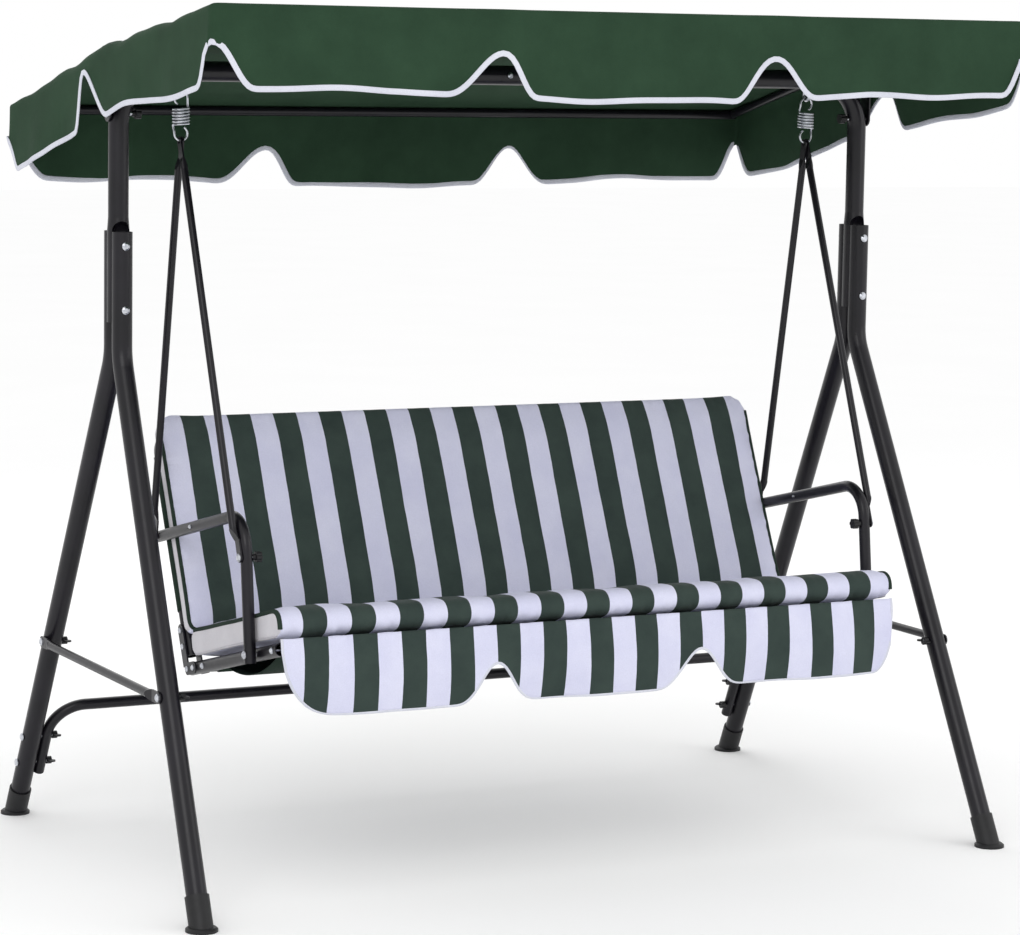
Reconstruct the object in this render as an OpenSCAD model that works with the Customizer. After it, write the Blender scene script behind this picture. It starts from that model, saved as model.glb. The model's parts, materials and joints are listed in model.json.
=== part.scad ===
// Three-seat canopy swing bench.
// Front is -Y, +X runs along the bench, +Z is up; left and right are as seen from the front.
// The origin is on the ground under the middle of the top beam.

/* [Seat] */
// Width of the seat and back cushions; the rails, rods, posts and canopy follow it
seat_w = 1290; // [900:10:1700]
// Height of the seat rails' axis straight below the top beam
seat_z = 369.6; // [300:5:520]
// Slope of the seat, front edge higher
seat_tilt = 14; // [8:1:18]
// Lean of the back from vertical
back_recline = 24.8; // [15:1:32]
// Length of the side rails in front of the beam
rail_front = 410; // [360:5:460]
// Length of the side rails behind the beam
rail_rear = 36; // [30:1:50]
// Outer diameter of the rails, cross tubes and back frame
rail_d = 25; // [20:1:30]
// Height of the back frame's top tube above its foot, along the back
back_h = 454; // [380:2:540]
// Bend radius of the back frame's top corners
back_bend_r = 50; // [40:1:70]
// Outer diameter of the armrests
arm_d = 22; // [18:1:26]
// Distance of the armrest's foot bolt in front of the beam, along the rail
arm_foot = 318; // [280:2:350]
// Rise of the armrest from its foot bolt to its corner
arm_rise = 255; // [220:5:300]
// Slope of the armrest, front end higher
arm_tilt = 13.1; // [8:0.5:18]
// Forward lean of the armrest's foot
arm_lean = 6.5; // [2:0.5:12]
// Bend radius of the armrest
arm_bend_r = 60; // [45:1:75]

/* [Cushions and slings] */
// Thickness of the seat cushion
cushion_t = 58; // [40:1:75]
// Overhang of the seat cushion past the front ends of the rails
cushion_nose = 26; // [18:1:40]
// Thickness of the back cushion
back_cushion_t = 45; // [35:1:60]
// Height of the back cushion along the back
back_cushion_h = 422; // [380:2:480]
// Corner radius of the back cushion
back_cushion_r = 40; // [20:1:60]
// Height of the hanging front flap
flap_h = 145; // [100:5:180]
// Thickness of the flap
flap_t = 3; // [2:0.5:5]
// Width of each notch in the flap
flap_notch_w = 110; // [60:5:150]
// Height of each notch in the flap
flap_notch_h = 74; // [40:2:90]
// Thickness of the sling cloth
sling_t = 1.5; // [1:0.1:3]
// Drop of the seat sling in the middle
sling_sag = 45; // [20:1:60]

/* [Stand] */
// Height of the top beam's axis
beam_z = 1492; // [1350:4:1800]
// Outer diameter of the legs, posts and top beam
leg_d = 38; // [32:1:45]
// Wall of every steel tube
wall = 1.5; // [1.2:0.1:2]
// Bend radius from post to top beam
beam_bend_r = 100; // [80:5:120]
// Distance from the spring to the post
side_gap = 122.3; // [110:1:180]
// Distance of each foot's centre in front of or behind the beam
foot_y = 509; // [420:5:650]
// Outward splay of each foot past its post
leg_splay = 30; // [0:1:60]
// Depth of the leg tops below the top beam's axis
leg_drop = 295; // [260:5:330]
// Length of the legs' upright tops down to the bend
leg_upright = 233; // [210:5:260]
// Bend radius of the legs
leg_bend_r = 100; // [80:5:140]
// Height of the side braces' bolts
brace_z = 381; // [300:5:450]
// Outer diameter of the side braces
brace_d = 16; // [13:1:20]
// Height of the rear crossbar's axis
cross_z = 236; // [220:2:300]
// Outer diameter of the rear crossbar
cross_d = 22; // [18:1:26]
// Bend radius of the rear crossbar's ends
cross_bend_r = 70; // [60:1:80]
// Diameter of the feet's flanges
foot_d = 58; // [52:1:70]

/* [Hanging] */
// Outer diameter of the swing rods
rod_d = 14; // [12:1:18]
// Thickness of the flattened tube ends
flat_t = 3; // [2.5:0.1:4]
// Wire diameter of the springs
wire_d = 4; // [3:0.2:5]
// Mean radius of the spring coils
coil_r = 15; // [13:0.5:18]
// Whole turns of the spring coils, not counting the last half turn
coil_turns = 5; // [3:1:7]
// Rise of one turn of the spring
coil_pitch = 5.6; // [5.2:0.1:7]
// Mean radius of the spring's end hooks
hook_r = 13; // [11:0.5:15]
// Mean radius of the hanger eyes
eye_r = 10; // [8:0.5:12]

/* [Canopy] */
// Depth of the canopy from front to back
canopy_depth = 1076; // [900:4:1400]
// Height of the canopy's front edge above the top beam's axis
roof_front = 122; // [90:2:150]
// Height of the canopy's bend above the top beam's axis
roof_crown = 45; // [42:1:70]
// Distance of the canopy's bend behind the beam
crown_y = 50; // [20:5:80]
// Height of the canopy's rear edge above the top beam's axis
roof_rear = -72; // [-110:2:-40]
// Thickness of the canopy cloth
cloth_t = 3; // [2:0.5:4]
// Drop of the hanging edge all round
valance_h = 165; // [120:5:200]
// Width of the bell-shaped notches in the hanging edge
notch_w = 165; // [100:5:200]
// Height of the notches
notch_h = 80; // [50:2:100]
// Outer diameter of the canopy's front and rear rails
canopy_tube_d = 19; // [17:1:22]
// Outer diameter of the canopy's side arms
canopy_arm_d = 17; // [14:1:17]
// Depth of the tilt pivot below the top beam's axis
pivot_drop = 79; // [70:1:90]

/* [Hidden] */
$fn = 48;
gap = 0.2;
cut = 1;
lap = 0.5;
slim = 0.01;
rest_gap = 0.3;

leg_r = leg_d / 2;
rail_r = rail_d / 2;
arm_r = arm_d / 2;
rod_r = rod_d / 2;
cross_r = cross_d / 2;
brace_r = brace_d / 2;
canopy_r = canopy_tube_d / 2;
canopy_arm_r = canopy_arm_d / 2;
wire_r = wire_d / 2;

// bolts: diameters, heads and holes
bolt_d = 8;
small_bolt_d = 6;
bolt_clear = 0.2;
head_h = 4;
nut_h = 6.5;
bolt_tail = 2;
wing_tail = 9;
knob_tail = 12;
screw_d = 4;

// flattened tube ends: length of the flat, and of the stretch pressed from round to flat
flat_l = 30;
press_l = 22;
brace_flat_w = 22;
// nuts and heads stand this far off a round tube that slants past them
nut_clear = 0.6;

// across the bench: the cushions stand out past the rails' axes, and the springs hang outside the armrests
cushion_over = 9;
spring_out = 18;
rod_clear = 0.5;
canopy_clear = 13;
rail_x = seat_w / 2 - cushion_over;
plate_t = 3;
arm_x = rail_x + rail_r + arm_r + gap;
rod_foot_x = arm_x + arm_r + gap + flat_t / 2;
rod_x = arm_x + arm_r + rod_clear + rod_r;
spring_x = arm_x + spring_out;
post_x = spring_x + side_gap;
foot_x = post_x + leg_splay;
canopy_x = post_x + leg_r + canopy_clear;

// stand: each leg's axis stands off the post's by half the pinched foot
pinch_half = 2;
leg_off = leg_r + pinch_half;
leg_top_z = beam_z - leg_drop;
kink_z = leg_top_z - leg_upright;
leg_reach = norm([leg_splay, foot_y - leg_off]);
leg_slant = atan(leg_reach / kink_z);
leg_turn = atan(leg_splay / (foot_y - leg_off));
leg_lean = atan((foot_y - leg_off) / kink_z);
leg_splay_a = atan(leg_splay / norm([foot_y - leg_off, kink_z]));
leg_tangent = leg_bend_r * tan(leg_slant / 2);
leg_end_z = 15;
post_bolt_z = [leg_top_z - 26, leg_top_z - 144];
pinch_r = leg_r + pinch_half;
pinch_low_z = leg_top_z - 168;
pinch_top_z = leg_top_z + 26;
beam_seam_x = -20;
beam_spigot = 60;
beam_bolt_x = [beam_seam_x + 15, beam_seam_x + 45];
cross_bolt_z = [173, 116];
cross_low_z = 93;
cross_seam = 100;
cross_spigot = 45;
cap_wall = 3;
cap_r = leg_r + cap_wall;
cap_h = 46;
cap_sole = 25;
flange_h = 8;

// hanging points, and the spring's necks between its coils and its hooks
hang_gap = 0.3;
eye_wire_r = 3;
neck_top = 4.7;
neck_low = 3.5;
eye_z = beam_z - leg_r - hang_gap - eye_wire_r - eye_r;
swing_z = eye_z - eye_r + eye_wire_r + hang_gap + wire_r;
hook_top_z = swing_z - hook_r;
coil_top_z = hook_top_z - hook_r - neck_top;
coil_low_z = coil_top_z - (coil_turns + 0.5) * coil_pitch;
hook_low_z = coil_low_z - hook_r - neck_low;
rod_hole_r = 4.5;
hook_play = 1;
rod_top_z = hook_low_z - hook_r + wire_r + hook_play - rod_hole_r;
rod_flat_w = 18;
rod_part = 0.75;
front_rod_top_x = spring_x + flat_t / 2 + rod_part;
rear_rod_top_x = spring_x - flat_t / 2 - rod_part;

// seat
front_tube_l = rail_front - 15;
rear_tube_l = 50;
arm_foot_y = -arm_foot * cos(seat_tilt);
arm_foot_z = seat_z + arm_foot * sin(seat_tilt);
arm_corner_y = arm_foot_y + arm_rise * tan(arm_lean);
arm_corner_z = arm_foot_z + arm_rise;
arm_bend = 90 + arm_tilt - arm_lean;
arm_tangent = arm_bend_r * tan(arm_bend / 2);
arm_tail = 15;
arm_toe = 16;
rod_bolt_drop = 80;
rod_bolt_y = arm_corner_y - rod_bolt_drop * tan(arm_lean);
rod_bolt_z = arm_corner_z - rod_bolt_drop;
// small screw through the middle of each armrest
arm_screw_y = -40;
arm_screw_z = arm_corner_z - tan(arm_tilt) * (arm_screw_y - arm_corner_y);
back_foot_y = rail_rear + 1;
back_foot_z = seat_z + 15.4;
// the armrest's axis meets the back frame's axis here
back_pin_y = (back_foot_y + tan(back_recline) * (arm_corner_z + tan(arm_tilt) * arm_corner_y - back_foot_z))
    / (1 + tan(back_recline) * tan(arm_tilt));
back_pin_z = arm_corner_z - tan(arm_tilt) * (back_pin_y - arm_corner_y);
back_pin_w = (back_pin_z - back_foot_z) / cos(back_recline);
// the rods' flats end where the two rods stand clear of each other, side by side
rod_spread = atan(-rod_bolt_y / (rod_top_z - rod_bolt_z)) + atan(back_pin_y / (rod_top_z - back_pin_z));
rod_flat_l = rod_flat_w / (2 * sin(rod_spread / 2));
back_seam_x = -15;
back_spigot = 50;
corner_bolt_rail = [22, -8];
corner_bolt_back = [20, 52];
corner_w = 24;
cushion_lift = rail_r + gap + sling_t + rest_gap;
cushion_front = rail_front + cushion_nose;
cushion_rear = -3;
back_cushion_low = 44;
back_cushion_front = cushion_lift + back_cushion_t;

// canopy
cloth_clear = 1;
side_notch_y = 20;
rail_wall = 1.2;
canopy_front_y = -canopy_depth / 2;
canopy_rear_y = canopy_depth / 2;
roof_front_z = beam_z + roof_front;
roof_crown_z = beam_z + roof_crown;
roof_rear_z = beam_z + roof_rear;
pivot_z = beam_z - pivot_drop;
front_pitch = atan((roof_front_z - roof_crown_z) / (crown_y - canopy_front_y));
rear_pitch = atan((roof_crown_z - roof_rear_z) / (canopy_rear_y - crown_y));
rail_inset = cloth_t + canopy_r + cloth_clear;
canopy_sink = rail_inset;
bracket_clear = 0.5;
bracket_x = post_x + leg_r + bracket_clear;
canopy_arm_x = bracket_x - canopy_arm_r - gap;
bracket_w = 30;
knob_off = 6.5;
pivot_tail = 16;
canopy_bend_r = 300;
bracket_bolt_y = [-22, 22];

black = [0.14, 0.13, 0.16];
plastic = [0.09, 0.09, 0.1];
zinc = [0.72, 0.73, 0.76];
canopy_green = [0.17, 0.29, 0.2];
sling_green = [0.12, 0.19, 0.15];
stripe_white = [0.82, 0.82, 0.9];

// ---- places on the legs ----
function leg_x(z) = post_x + leg_splay * (kink_z - z) / kink_z;
function leg_y(z) = leg_off + (foot_y - leg_off) * (kink_z - z) / kink_z;
function roof_z(y) = y < crown_y
    ? roof_crown_z + (crown_y - y) * tan(front_pitch)
    : roof_crown_z - (y - crown_y) * tan(rear_pitch);
// height of the canopy frame's axis under the roof
function frame_z(y) = roof_z(y) - canopy_sink;

// ---- shared shapes ----
// everything is drawn for the right-hand side; the left is its mirror image
module on_side(side) {
    mirror([side < 0 ? 1 : 0, 0, 0]) children();
}

// quarter-bend of a round bar, from +Z towards -Y
module elbow(r, bend, bend_r) {
    mirror([0, bend < 0 ? 1 : 0, 0])
        translate([0, -bend_r, 0])
            rotate([90, 0, 90])
                rotate_extrude(angle = abs(bend))
                    translate([bend_r, 0]) circle(r);
}

// round bar as a tube bender makes it: steps of [straight, bend, bend radius];
// each straight laps a little way over the slightly slimmer elbow
module bent_bar(steps, r, over = 0, i = 0) {
    last = i == len(steps) - 1;
    straight = steps[i][0];
    bend = steps[i][1];
    bend_r = steps[i][2];
    before = i == 0 ? over : lap;
    after = last ? over : lap;
    translate([0, 0, -before]) cylinder(r = r, h = before + straight + after);
    if (!last) {
        translate([0, 0, straight]) {
            elbow(r - slim, bend, bend_r);
            translate([0, -sign(bend) * bend_r * (1 - cos(bend)), bend_r * sin(abs(bend))])
                rotate([bend, 0, 0])
                    bent_bar(steps, r, over, i + 1);
        }
    }
}

module bent_tube(steps, r, t = wall) {
    difference() {
        bent_bar(steps, r);
        bent_bar(steps, r - t, cut);
    }
}

module straight_tube(r, h, t = wall) {
    bent_tube([[h, 0, 0]], r, t);
}

// bar along X between two places, for holes and shanks
module bar_x(r, x0, x1) {
    translate([x0, 0, 0]) rotate([0, 90, 0]) cylinder(r = r, h = x1 - x0);
}

module bar_y(r, y0, y1) {
    translate([0, y0, 0]) rotate([-90, 0, 0]) cylinder(r = r, h = y1 - y0);
}

module hole_x(d, x0, x1) {
    bar_x(d / 2 + bolt_clear, x0, x1);
}

module hole_y(d, y0, y1) {
    bar_y(d / 2 + bolt_clear, y0, y1);
}

// round-headed bolt: the head sits below z = 0, the shank stands up
module bolt(d, length) {
    translate([0, 0, -head_h]) cylinder(r1 = d * 0.55, r2 = d * 0.95, h = head_h * 0.6);
    translate([0, 0, -head_h * 0.4]) cylinder(r = d * 0.95, h = head_h * 0.4);
    cylinder(r = d / 2, h = length);
}

module nut(d) {
    difference() {
        cylinder(r = d * 0.9, h = nut_h, $fn = 6);
        translate([0, 0, -cut]) cylinder(r = d / 2 + 0.05, h = nut_h + 2 * cut);
    }
}

module wing_nut(d) {
    hub_r = d * 0.95;
    wing_r = d * 0.95;
    difference() {
        union() {
            cylinder(r = hub_r, h = d * 1.2);
            for (s = [-1, 1])
                translate([s * d * 1.35, -1.5, d * 0.95])
                    rotate([-90, 0, 0]) cylinder(r = wing_r, h = 3);
        }
        translate([0, 0, -cut]) cylinder(r = d / 2 + 0.05, h = d * 1.2 + 2 * cut);
    }
}

// lobed hand knob on a narrow neck, closed at its outer end
module knob(d) {
    neck_r = d / 2 + 2;
    neck_h = 6;
    head_r = 10;
    knob_h = 17;
    lobes = 6;
    lobe_r = 3.5;
    difference() {
        union() {
            cylinder(r = neck_r, h = neck_h + cut);
            translate([0, 0, neck_h]) cylinder(r = head_r, h = knob_h - neck_h);
        }
        for (k = [0 : lobes - 1])
            rotate([0, 0, k * 360 / lobes])
                translate([head_r + lobe_r / 2, 0, neck_h - cut]) cylinder(r = lobe_r, h = knob_h);
        translate([0, 0, -cut]) cylinder(r = d / 2 + 0.05, h = 13 + cut);
    }
}

// flattened and drilled tube end: the flat lies in a plane of constant X at its own offset from the axis
module flat_end(r, flat_w, flat_l, off) {
    translate([off, 0, 0]) {
        bar_x(flat_w / 2, -flat_t / 2, flat_t / 2);
        translate([-flat_t / 2, -flat_w / 2, 0]) cube([flat_t, flat_w, flat_l]);
    }
    intersection() {
        translate([0, 0, flat_l]) cylinder(r1 = norm([flat_w / 2, off]), r2 = r, h = press_l);
        rotate([90, 0, 0]) translate([0, 0, -flat_w]) linear_extrude(2 * flat_w)
            polygon([
                [off - flat_t / 2, flat_l], [off + flat_t / 2, flat_l],
                [r + lap, flat_l + press_l], [-r - lap, flat_l + press_l]
            ]);
    }
}

// tube in a plane of constant X between two [y, z] places, both ends pressed flat and drilled there
module flat_end_tube(x, p, q, r, flat_w, hole_r, flat_l, p_off = 0, q_off = 0) {
    d = q - p;
    run = norm(d);
    round_z = flat_l + press_l;
    translate([x, p[0], p[1]]) rotate([atan2(-d[0], d[1]), 0, 0])
        difference() {
            union() {
                flat_end(r, flat_w, flat_l, p_off);
                translate([0, 0, run]) mirror([0, 0, 1]) flat_end(r, flat_w, flat_l, q_off);
                translate([0, 0, round_z - lap]) cylinder(r = r, h = run - 2 * (round_z - lap));
            }
            for (end = [[0, p_off], [run, q_off]])
                translate([end[1], 0, end[0]]) bar_x(hole_r, -flat_t, flat_t);
            translate([0, 0, round_z + wall]) cylinder(r = r - wall, h = run - 2 * (round_z + wall));
        }
}

// height of a bell curve, 1 at its middle, at distance u from it
function bell(u, w) = abs(u) >= w / 2 ? 0 : (1 + cos(360 * u / w)) / 2;

// cloth edge: hangs by h from a top line, with bell notches centred at the given places
function hem(u, h, w, depth, centres) = -h + depth * max([for (c = centres) bell(u - c, w)]);

// ---- stand ----
module leg(side, front) {
    steps = [
        [leg_upright - leg_tangent, leg_slant, leg_bend_r],
        [(kink_z - leg_end_z) / cos(leg_slant) - leg_tangent, 0, 0]
    ];
    color(black)
        on_side(side) mirror([0, front > 0 ? 0 : 1, 0])
            difference() {
                translate([post_x, -leg_off, leg_top_z])
                    rotate([0, 0, leg_turn])
                        mirror([0, 0, 1]) bent_tube(steps, leg_r);
                for (z = post_bolt_z)
                    translate([post_x, 0, z]) hole_y(bolt_d, -leg_off - leg_d, 0);
                translate([0, -leg_y(brace_z), brace_z]) hole_x(bolt_d, post_x - leg_d, foot_x + leg_d);
                if (front < 0)
                    for (z = cross_bolt_z)
                        translate([0, -leg_y(z), z]) hole_x(bolt_d, post_x - leg_d, foot_x + leg_d);
            }
}

module foot_cap(side, front) {
    end_x = leg_x(leg_end_z);
    end_y = leg_y(leg_end_z);
    color(plastic)
        on_side(side) mirror([0, front > 0 ? 0 : 1, 0])
            difference() {
                union() {
                    translate([foot_x, -foot_y, 0]) {
                        cylinder(r = foot_d / 2, h = flange_h * 0.6);
                        translate([0, 0, flange_h * 0.6])
                            cylinder(r1 = foot_d / 2, r2 = foot_d / 2 - 4, h = flange_h * 0.4);
                    }
                    intersection() {
                        translate([end_x, -end_y, leg_end_z])
                            rotate([0, 0, leg_turn]) rotate([-leg_slant, 0, 0])
                                translate([0, 0, -cap_sole]) cylinder(r = cap_r, h = cap_h + cap_sole);
                        translate([foot_x - 100, -foot_y - 100, 0]) cube([200, 200, 200]);
                    }
                }
                translate([end_x, -end_y, leg_end_z])
                    rotate([0, 0, leg_turn]) rotate([-leg_slant, 0, 0])
                        translate([0, 0, -0.1]) cylinder(r = leg_r + 0.1, h = cap_h + 2 * cut);
            }
}

// bow-tie section of the post's pinched foot, hollowed to seat against both legs
module pinch_outline() {
    difference() {
        circle(pinch_r);
        for (s = [-1, 1]) translate([0, s * leg_off]) circle(leg_r + 0.1);
    }
}

module post_and_beam(side, beam_end) {
    rise = beam_z - beam_bend_r - pinch_top_z;
    run = post_x - beam_bend_r - beam_end;
    translate([post_x, 0, pinch_top_z])
        rotate([0, 0, -90])
            bent_tube([[rise, 90, beam_bend_r], [run, 0, 0]], leg_r);
    translate([post_x, 0, pinch_low_z])
        linear_extrude(leg_top_z - pinch_low_z) pinch_outline();
    difference() {
        translate([post_x, 0, leg_top_z])
            cylinder(r1 = pinch_r, r2 = leg_r, h = pinch_top_z - leg_top_z);
        for (s = [-1, 1])
            translate([post_x, s * leg_off, leg_top_z]) sphere(leg_r + 0.1);
    }
}

module top_beam(side) {
    beam_end = side < 0 ? -beam_seam_x : beam_seam_x + gap;
    color(black)
        on_side(side)
            difference() {
                union() {
                    post_and_beam(side, beam_end);
                    if (side < 0) beam_spigot_end();
                }
                for (z = post_bolt_z) translate([post_x, 0, z]) hole_y(bolt_d, -leg_d, leg_d);
                for (x = beam_bolt_x) translate([side * x, 0, beam_z]) hole_y(small_bolt_d, -leg_d, leg_d);
                translate([spring_x, 0, beam_z - leg_d]) cylinder(r = bolt_d / 2 + bolt_clear, h = 2 * leg_d);
                translate([0, 0, pivot_z]) hole_x(bolt_d, post_x - leg_d, post_x + leg_d);
            }
}

// reduced end of the left half, which slides into the right half
module beam_spigot_end() {
    spigot_r = leg_r - wall - 0.1;
    translate([-beam_seam_x - beam_spigot, 0, beam_z]) rotate([0, 90, 0]) {
        straight_tube(spigot_r, beam_spigot + 6);
        translate([0, 0, beam_spigot]) straight_tube(spigot_r + 0.4, 4, 1.6);
    }
}

module beam_bolts() {
    color(zinc)
        for (x = beam_bolt_x) {
            translate([x, -leg_r, beam_z]) rotate([-90, 0, 0]) bolt(small_bolt_d, leg_d + nut_h + bolt_tail);
            translate([x, leg_r, beam_z]) rotate([-90, 0, 0]) nut(small_bolt_d);
        }
}

module post_bolts() {
    reach = leg_off + leg_r;
    color(zinc)
        for (side = [-1, 1], z = post_bolt_z) {
            translate([side * post_x, -reach, z])
                rotate([-90, 0, 0]) bolt(bolt_d, 2 * reach + nut_h + bolt_tail);
            translate([side * post_x, reach, z]) rotate([-90, 0, 0]) nut(bolt_d);
        }
}

module side_brace(side) {
    x = leg_x(brace_z) + leg_r + gap + flat_t / 2;
    y = leg_y(brace_z);
    color(black)
        on_side(side)
            flat_end_tube(x, [-y, brace_z], [y, brace_z], brace_r, brace_flat_w,
                bolt_d / 2 + bolt_clear, flat_l);
}

module brace_bolts() {
    head_x = leg_x(brace_z) + leg_r + gap + flat_t;
    color(zinc)
        for (side = [-1, 1], y = [-1, 1])
            on_side(side) translate([head_x, y * leg_y(brace_z), brace_z])
                rotate([0, -90, 0]) bolt(bolt_d, leg_d + flat_t + wing_tail);
}

module brace_wing_nuts() {
    nut_x = leg_x(brace_z) - leg_r - nut_clear;
    color(plastic)
        for (side = [-1, 1], y = [-1, 1])
            on_side(side) translate([nut_x, y * leg_y(brace_z), brace_z])
                rotate([90, 0, 0]) rotate([0, -90, 0]) wing_nut(bolt_d);
}

// place on the crossbar end's slanted axis at height z
function cross_x(z) = leg_x(z) - leg_r - cross_r - gap;

module crossbar_end(side) {
    bend = 90 - leg_splay_a;
    tangent = cross_bend_r * tan(bend / 2);
    rise = (cross_z - cross_low_z) / (cos(leg_lean) * cos(leg_splay_a)) - tangent;
    color(black)
        on_side(side)
            difference() {
                union() {
                    translate([cross_x(cross_low_z), leg_y(cross_low_z), cross_low_z])
                        rotate([leg_lean, 0, 0]) rotate([0, -leg_splay_a, 0]) rotate([0, 0, -90])
                            bent_tube([[rise, bend, cross_bend_r], [cross_seam, 0, 0]], cross_r);
                    translate([cross_seam_x() - cross_spigot, leg_y(cross_z), cross_z]) rotate([0, 90, 0]) {
                        straight_tube(cross_r - wall - 0.1, cross_spigot + 5);
                        translate([0, 0, cross_spigot]) straight_tube(cross_r - wall + 0.4, 3, 1.6);
                    }
                }
                for (z = cross_bolt_z)
                    translate([0, leg_y(z), z]) hole_x(bolt_d, post_x - 2 * leg_d, foot_x);
            }
}

// where the bent end meets the middle tube
function cross_seam_x() = cross_x(cross_z) - cross_bend_r * tan((90 - leg_splay_a) / 2) - cross_seam;

module crossbar_middle() {
    reach = cross_seam_x() - gap;
    color(black)
        translate([-reach, leg_y(cross_z), cross_z]) rotate([0, 90, 0])
            straight_tube(cross_r, 2 * reach);
}

module crossbar_bolts() {
    color(zinc)
        for (side = [-1, 1], z = cross_bolt_z)
            on_side(side) translate([leg_x(z) + leg_r + nut_clear, leg_y(z), z])
                rotate([0, -90, 0]) bolt(bolt_d, leg_d + cross_d + wing_tail);
}

module crossbar_wing_nuts() {
    color(plastic)
        for (side = [-1, 1], z = cross_bolt_z)
            on_side(side) translate([cross_x(z) - cross_r - nut_clear, leg_y(z), z])
                rotate([90, 0, 0]) rotate([0, -90, 0]) wing_nut(bolt_d);
}

// ---- hangers and springs ----
module hanger_eye(side) {
    color(zinc)
        on_side(side) translate([spring_x, 0, 0]) {
            translate([0, 0, eye_z]) rotate([0, 90, 0])
                rotate_extrude() translate([eye_r, 0]) circle(eye_wire_r);
            translate([0, 0, eye_z + eye_r]) cylinder(r = bolt_d / 2, h = 2 + leg_d + eye_wire_r + nut_h + 4);
        }
}

module hanger_nuts() {
    color(zinc)
        for (side = [-1, 1])
            on_side(side) translate([spring_x, 0, beam_z + leg_r]) nut(bolt_d);
}

// smooth curve between two points with given end directions
function blend(p, q, m, n, t) =
    (2 * t * t * t - 3 * t * t + 1) * p + (t * t * t - 2 * t * t + t) * m
    + (3 * t * t - 2 * t * t * t) * q + (t * t * t - t * t) * n;

// the spring's wire: [point, outward direction] along lower hook, coil and upper hook
hook_steps = 12;
blend_steps = 5;
turn_steps = 16;
lower_hook = [
    for (i = [0 : hook_steps])
        let (a = 60 - 240 * i / hook_steps)
        [[hook_r * cos(a), 0, hook_low_z + hook_r * sin(a)], [cos(a), 0, sin(a)]]
];
lower_blend = [
    for (i = [1 : blend_steps - 1])
        [blend([-hook_r, 0, hook_low_z], [-coil_r, 0, coil_low_z], [0, 0, 22], [0, -16, 2], i / blend_steps),
         [-1, 0, 0]]
];
coil = [
    for (i = [0 : (coil_turns + 0.5) * turn_steps])
        let (a = 180 + i * 360 / turn_steps)
        [[coil_r * cos(a), coil_r * sin(a), coil_low_z + (a - 180) * coil_pitch / 360], [cos(a), sin(a), 0]]
];
upper_blend = [
    for (i = [1 : blend_steps - 1])
        [blend([coil_r, 0, coil_top_z], [hook_r, 0, hook_top_z], [0, 16, 2], [0, 0, 22], i / blend_steps),
         [1, 0, 0]]
];
upper_hook = [
    for (i = [0 : hook_steps])
        let (a = 240 * i / hook_steps)
        [[hook_r * cos(a), 0, hook_top_z + hook_r * sin(a)], [cos(a), 0, sin(a)]]
];
spring_wire = concat(lower_hook, lower_blend, coil, upper_blend, upper_hook);

function unit(v) = v / norm(v);

// ring of points round the wire at place i
function wire_ring(path, i, r, sides) =
    let (
        before = path[max(i - 1, 0)][0],
        after = path[min(i + 1, len(path) - 1)][0],
        t = unit(after - before),
        n = unit(path[i][1] - (path[i][1] * t) * t),
        b = cross(t, n)
    )
    [for (k = [0 : sides - 1]) path[i][0] + r * (cos(360 * k / sides) * n + sin(360 * k / sides) * b)];

module swept_wire(path, r, sides = 8) {
    rings = len(path);
    points = [for (i = [0 : rings - 1]) each wire_ring(path, i, r, sides)];
    sides_faces = [
        for (i = [0 : rings - 2], k = [0 : sides - 1])
            let (
                a = i * sides + k,
                b = i * sides + (k + 1) % sides,
                c = b + sides,
                d = a + sides
            )
            each [[a, d, b], [b, d, c]]
    ];
    start_cap = [[for (k = [0 : sides - 1]) k]];
    end_cap = [[for (k = [sides - 1 : -1 : 0]) (rings - 1) * sides + k]];
    polyhedron(points, concat(sides_faces, start_cap, end_cap));
}

module spring(side) {
    color(zinc)
        on_side(side) translate([spring_x, 0, 0]) mirror([1, 0, 0])
            swept_wire(spring_wire, wire_r);
}

// ---- swing rods ----
module front_rod(side) {
    color(black)
        on_side(side)
            flat_end_tube(rod_x, [0, rod_top_z], [rod_bolt_y, rod_bolt_z], rod_r, rod_flat_w,
                rod_hole_r, rod_flat_l, front_rod_top_x - rod_x, rod_foot_x - rod_x);
}

module rear_rod(side) {
    color(black)
        on_side(side)
            flat_end_tube(rod_x, [0, rod_top_z], [back_pin_y, back_pin_z], rod_r, rod_flat_w,
                rod_hole_r, rod_flat_l, rear_rod_top_x - rod_x, rod_foot_x - rod_x);
}

module rod_bolts() {
    head_x = rod_foot_x + flat_t / 2;
    color(zinc)
        for (side = [-1, 1]) on_side(side) {
            translate([head_x, rod_bolt_y, rod_bolt_z])
                rotate([0, -90, 0]) bolt(bolt_d, arm_d + flat_t + knob_tail);
            translate([head_x, back_pin_y, back_pin_z])
                rotate([0, -90, 0]) bolt(bolt_d, arm_d + rail_d + flat_t + nut_h + bolt_tail);
            translate([rail_x - rail_r, back_pin_y, back_pin_z]) rotate([0, -90, 0]) nut(bolt_d);
            translate([arm_x + arm_r, arm_screw_y, arm_screw_z])
                rotate([0, -90, 0]) bolt(screw_d, arm_d + screw_d);
        }
}

module rod_knobs() {
    color(plastic)
        for (side = [-1, 1]) on_side(side)
            translate([arm_x - arm_r, rod_bolt_y, rod_bolt_z]) rotate([0, -90, 0]) knob(bolt_d);
}

// ---- seat frame ----
module in_seat() {
    translate([0, 0, seat_z]) rotate([-seat_tilt, 0, 0]) children();
}

// the back frame's own directions: +Z up along the back, -Y towards the sitter
module in_back() {
    translate([0, back_foot_y, back_foot_z]) rotate([-back_recline, 0, 0]) children();
}

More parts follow.
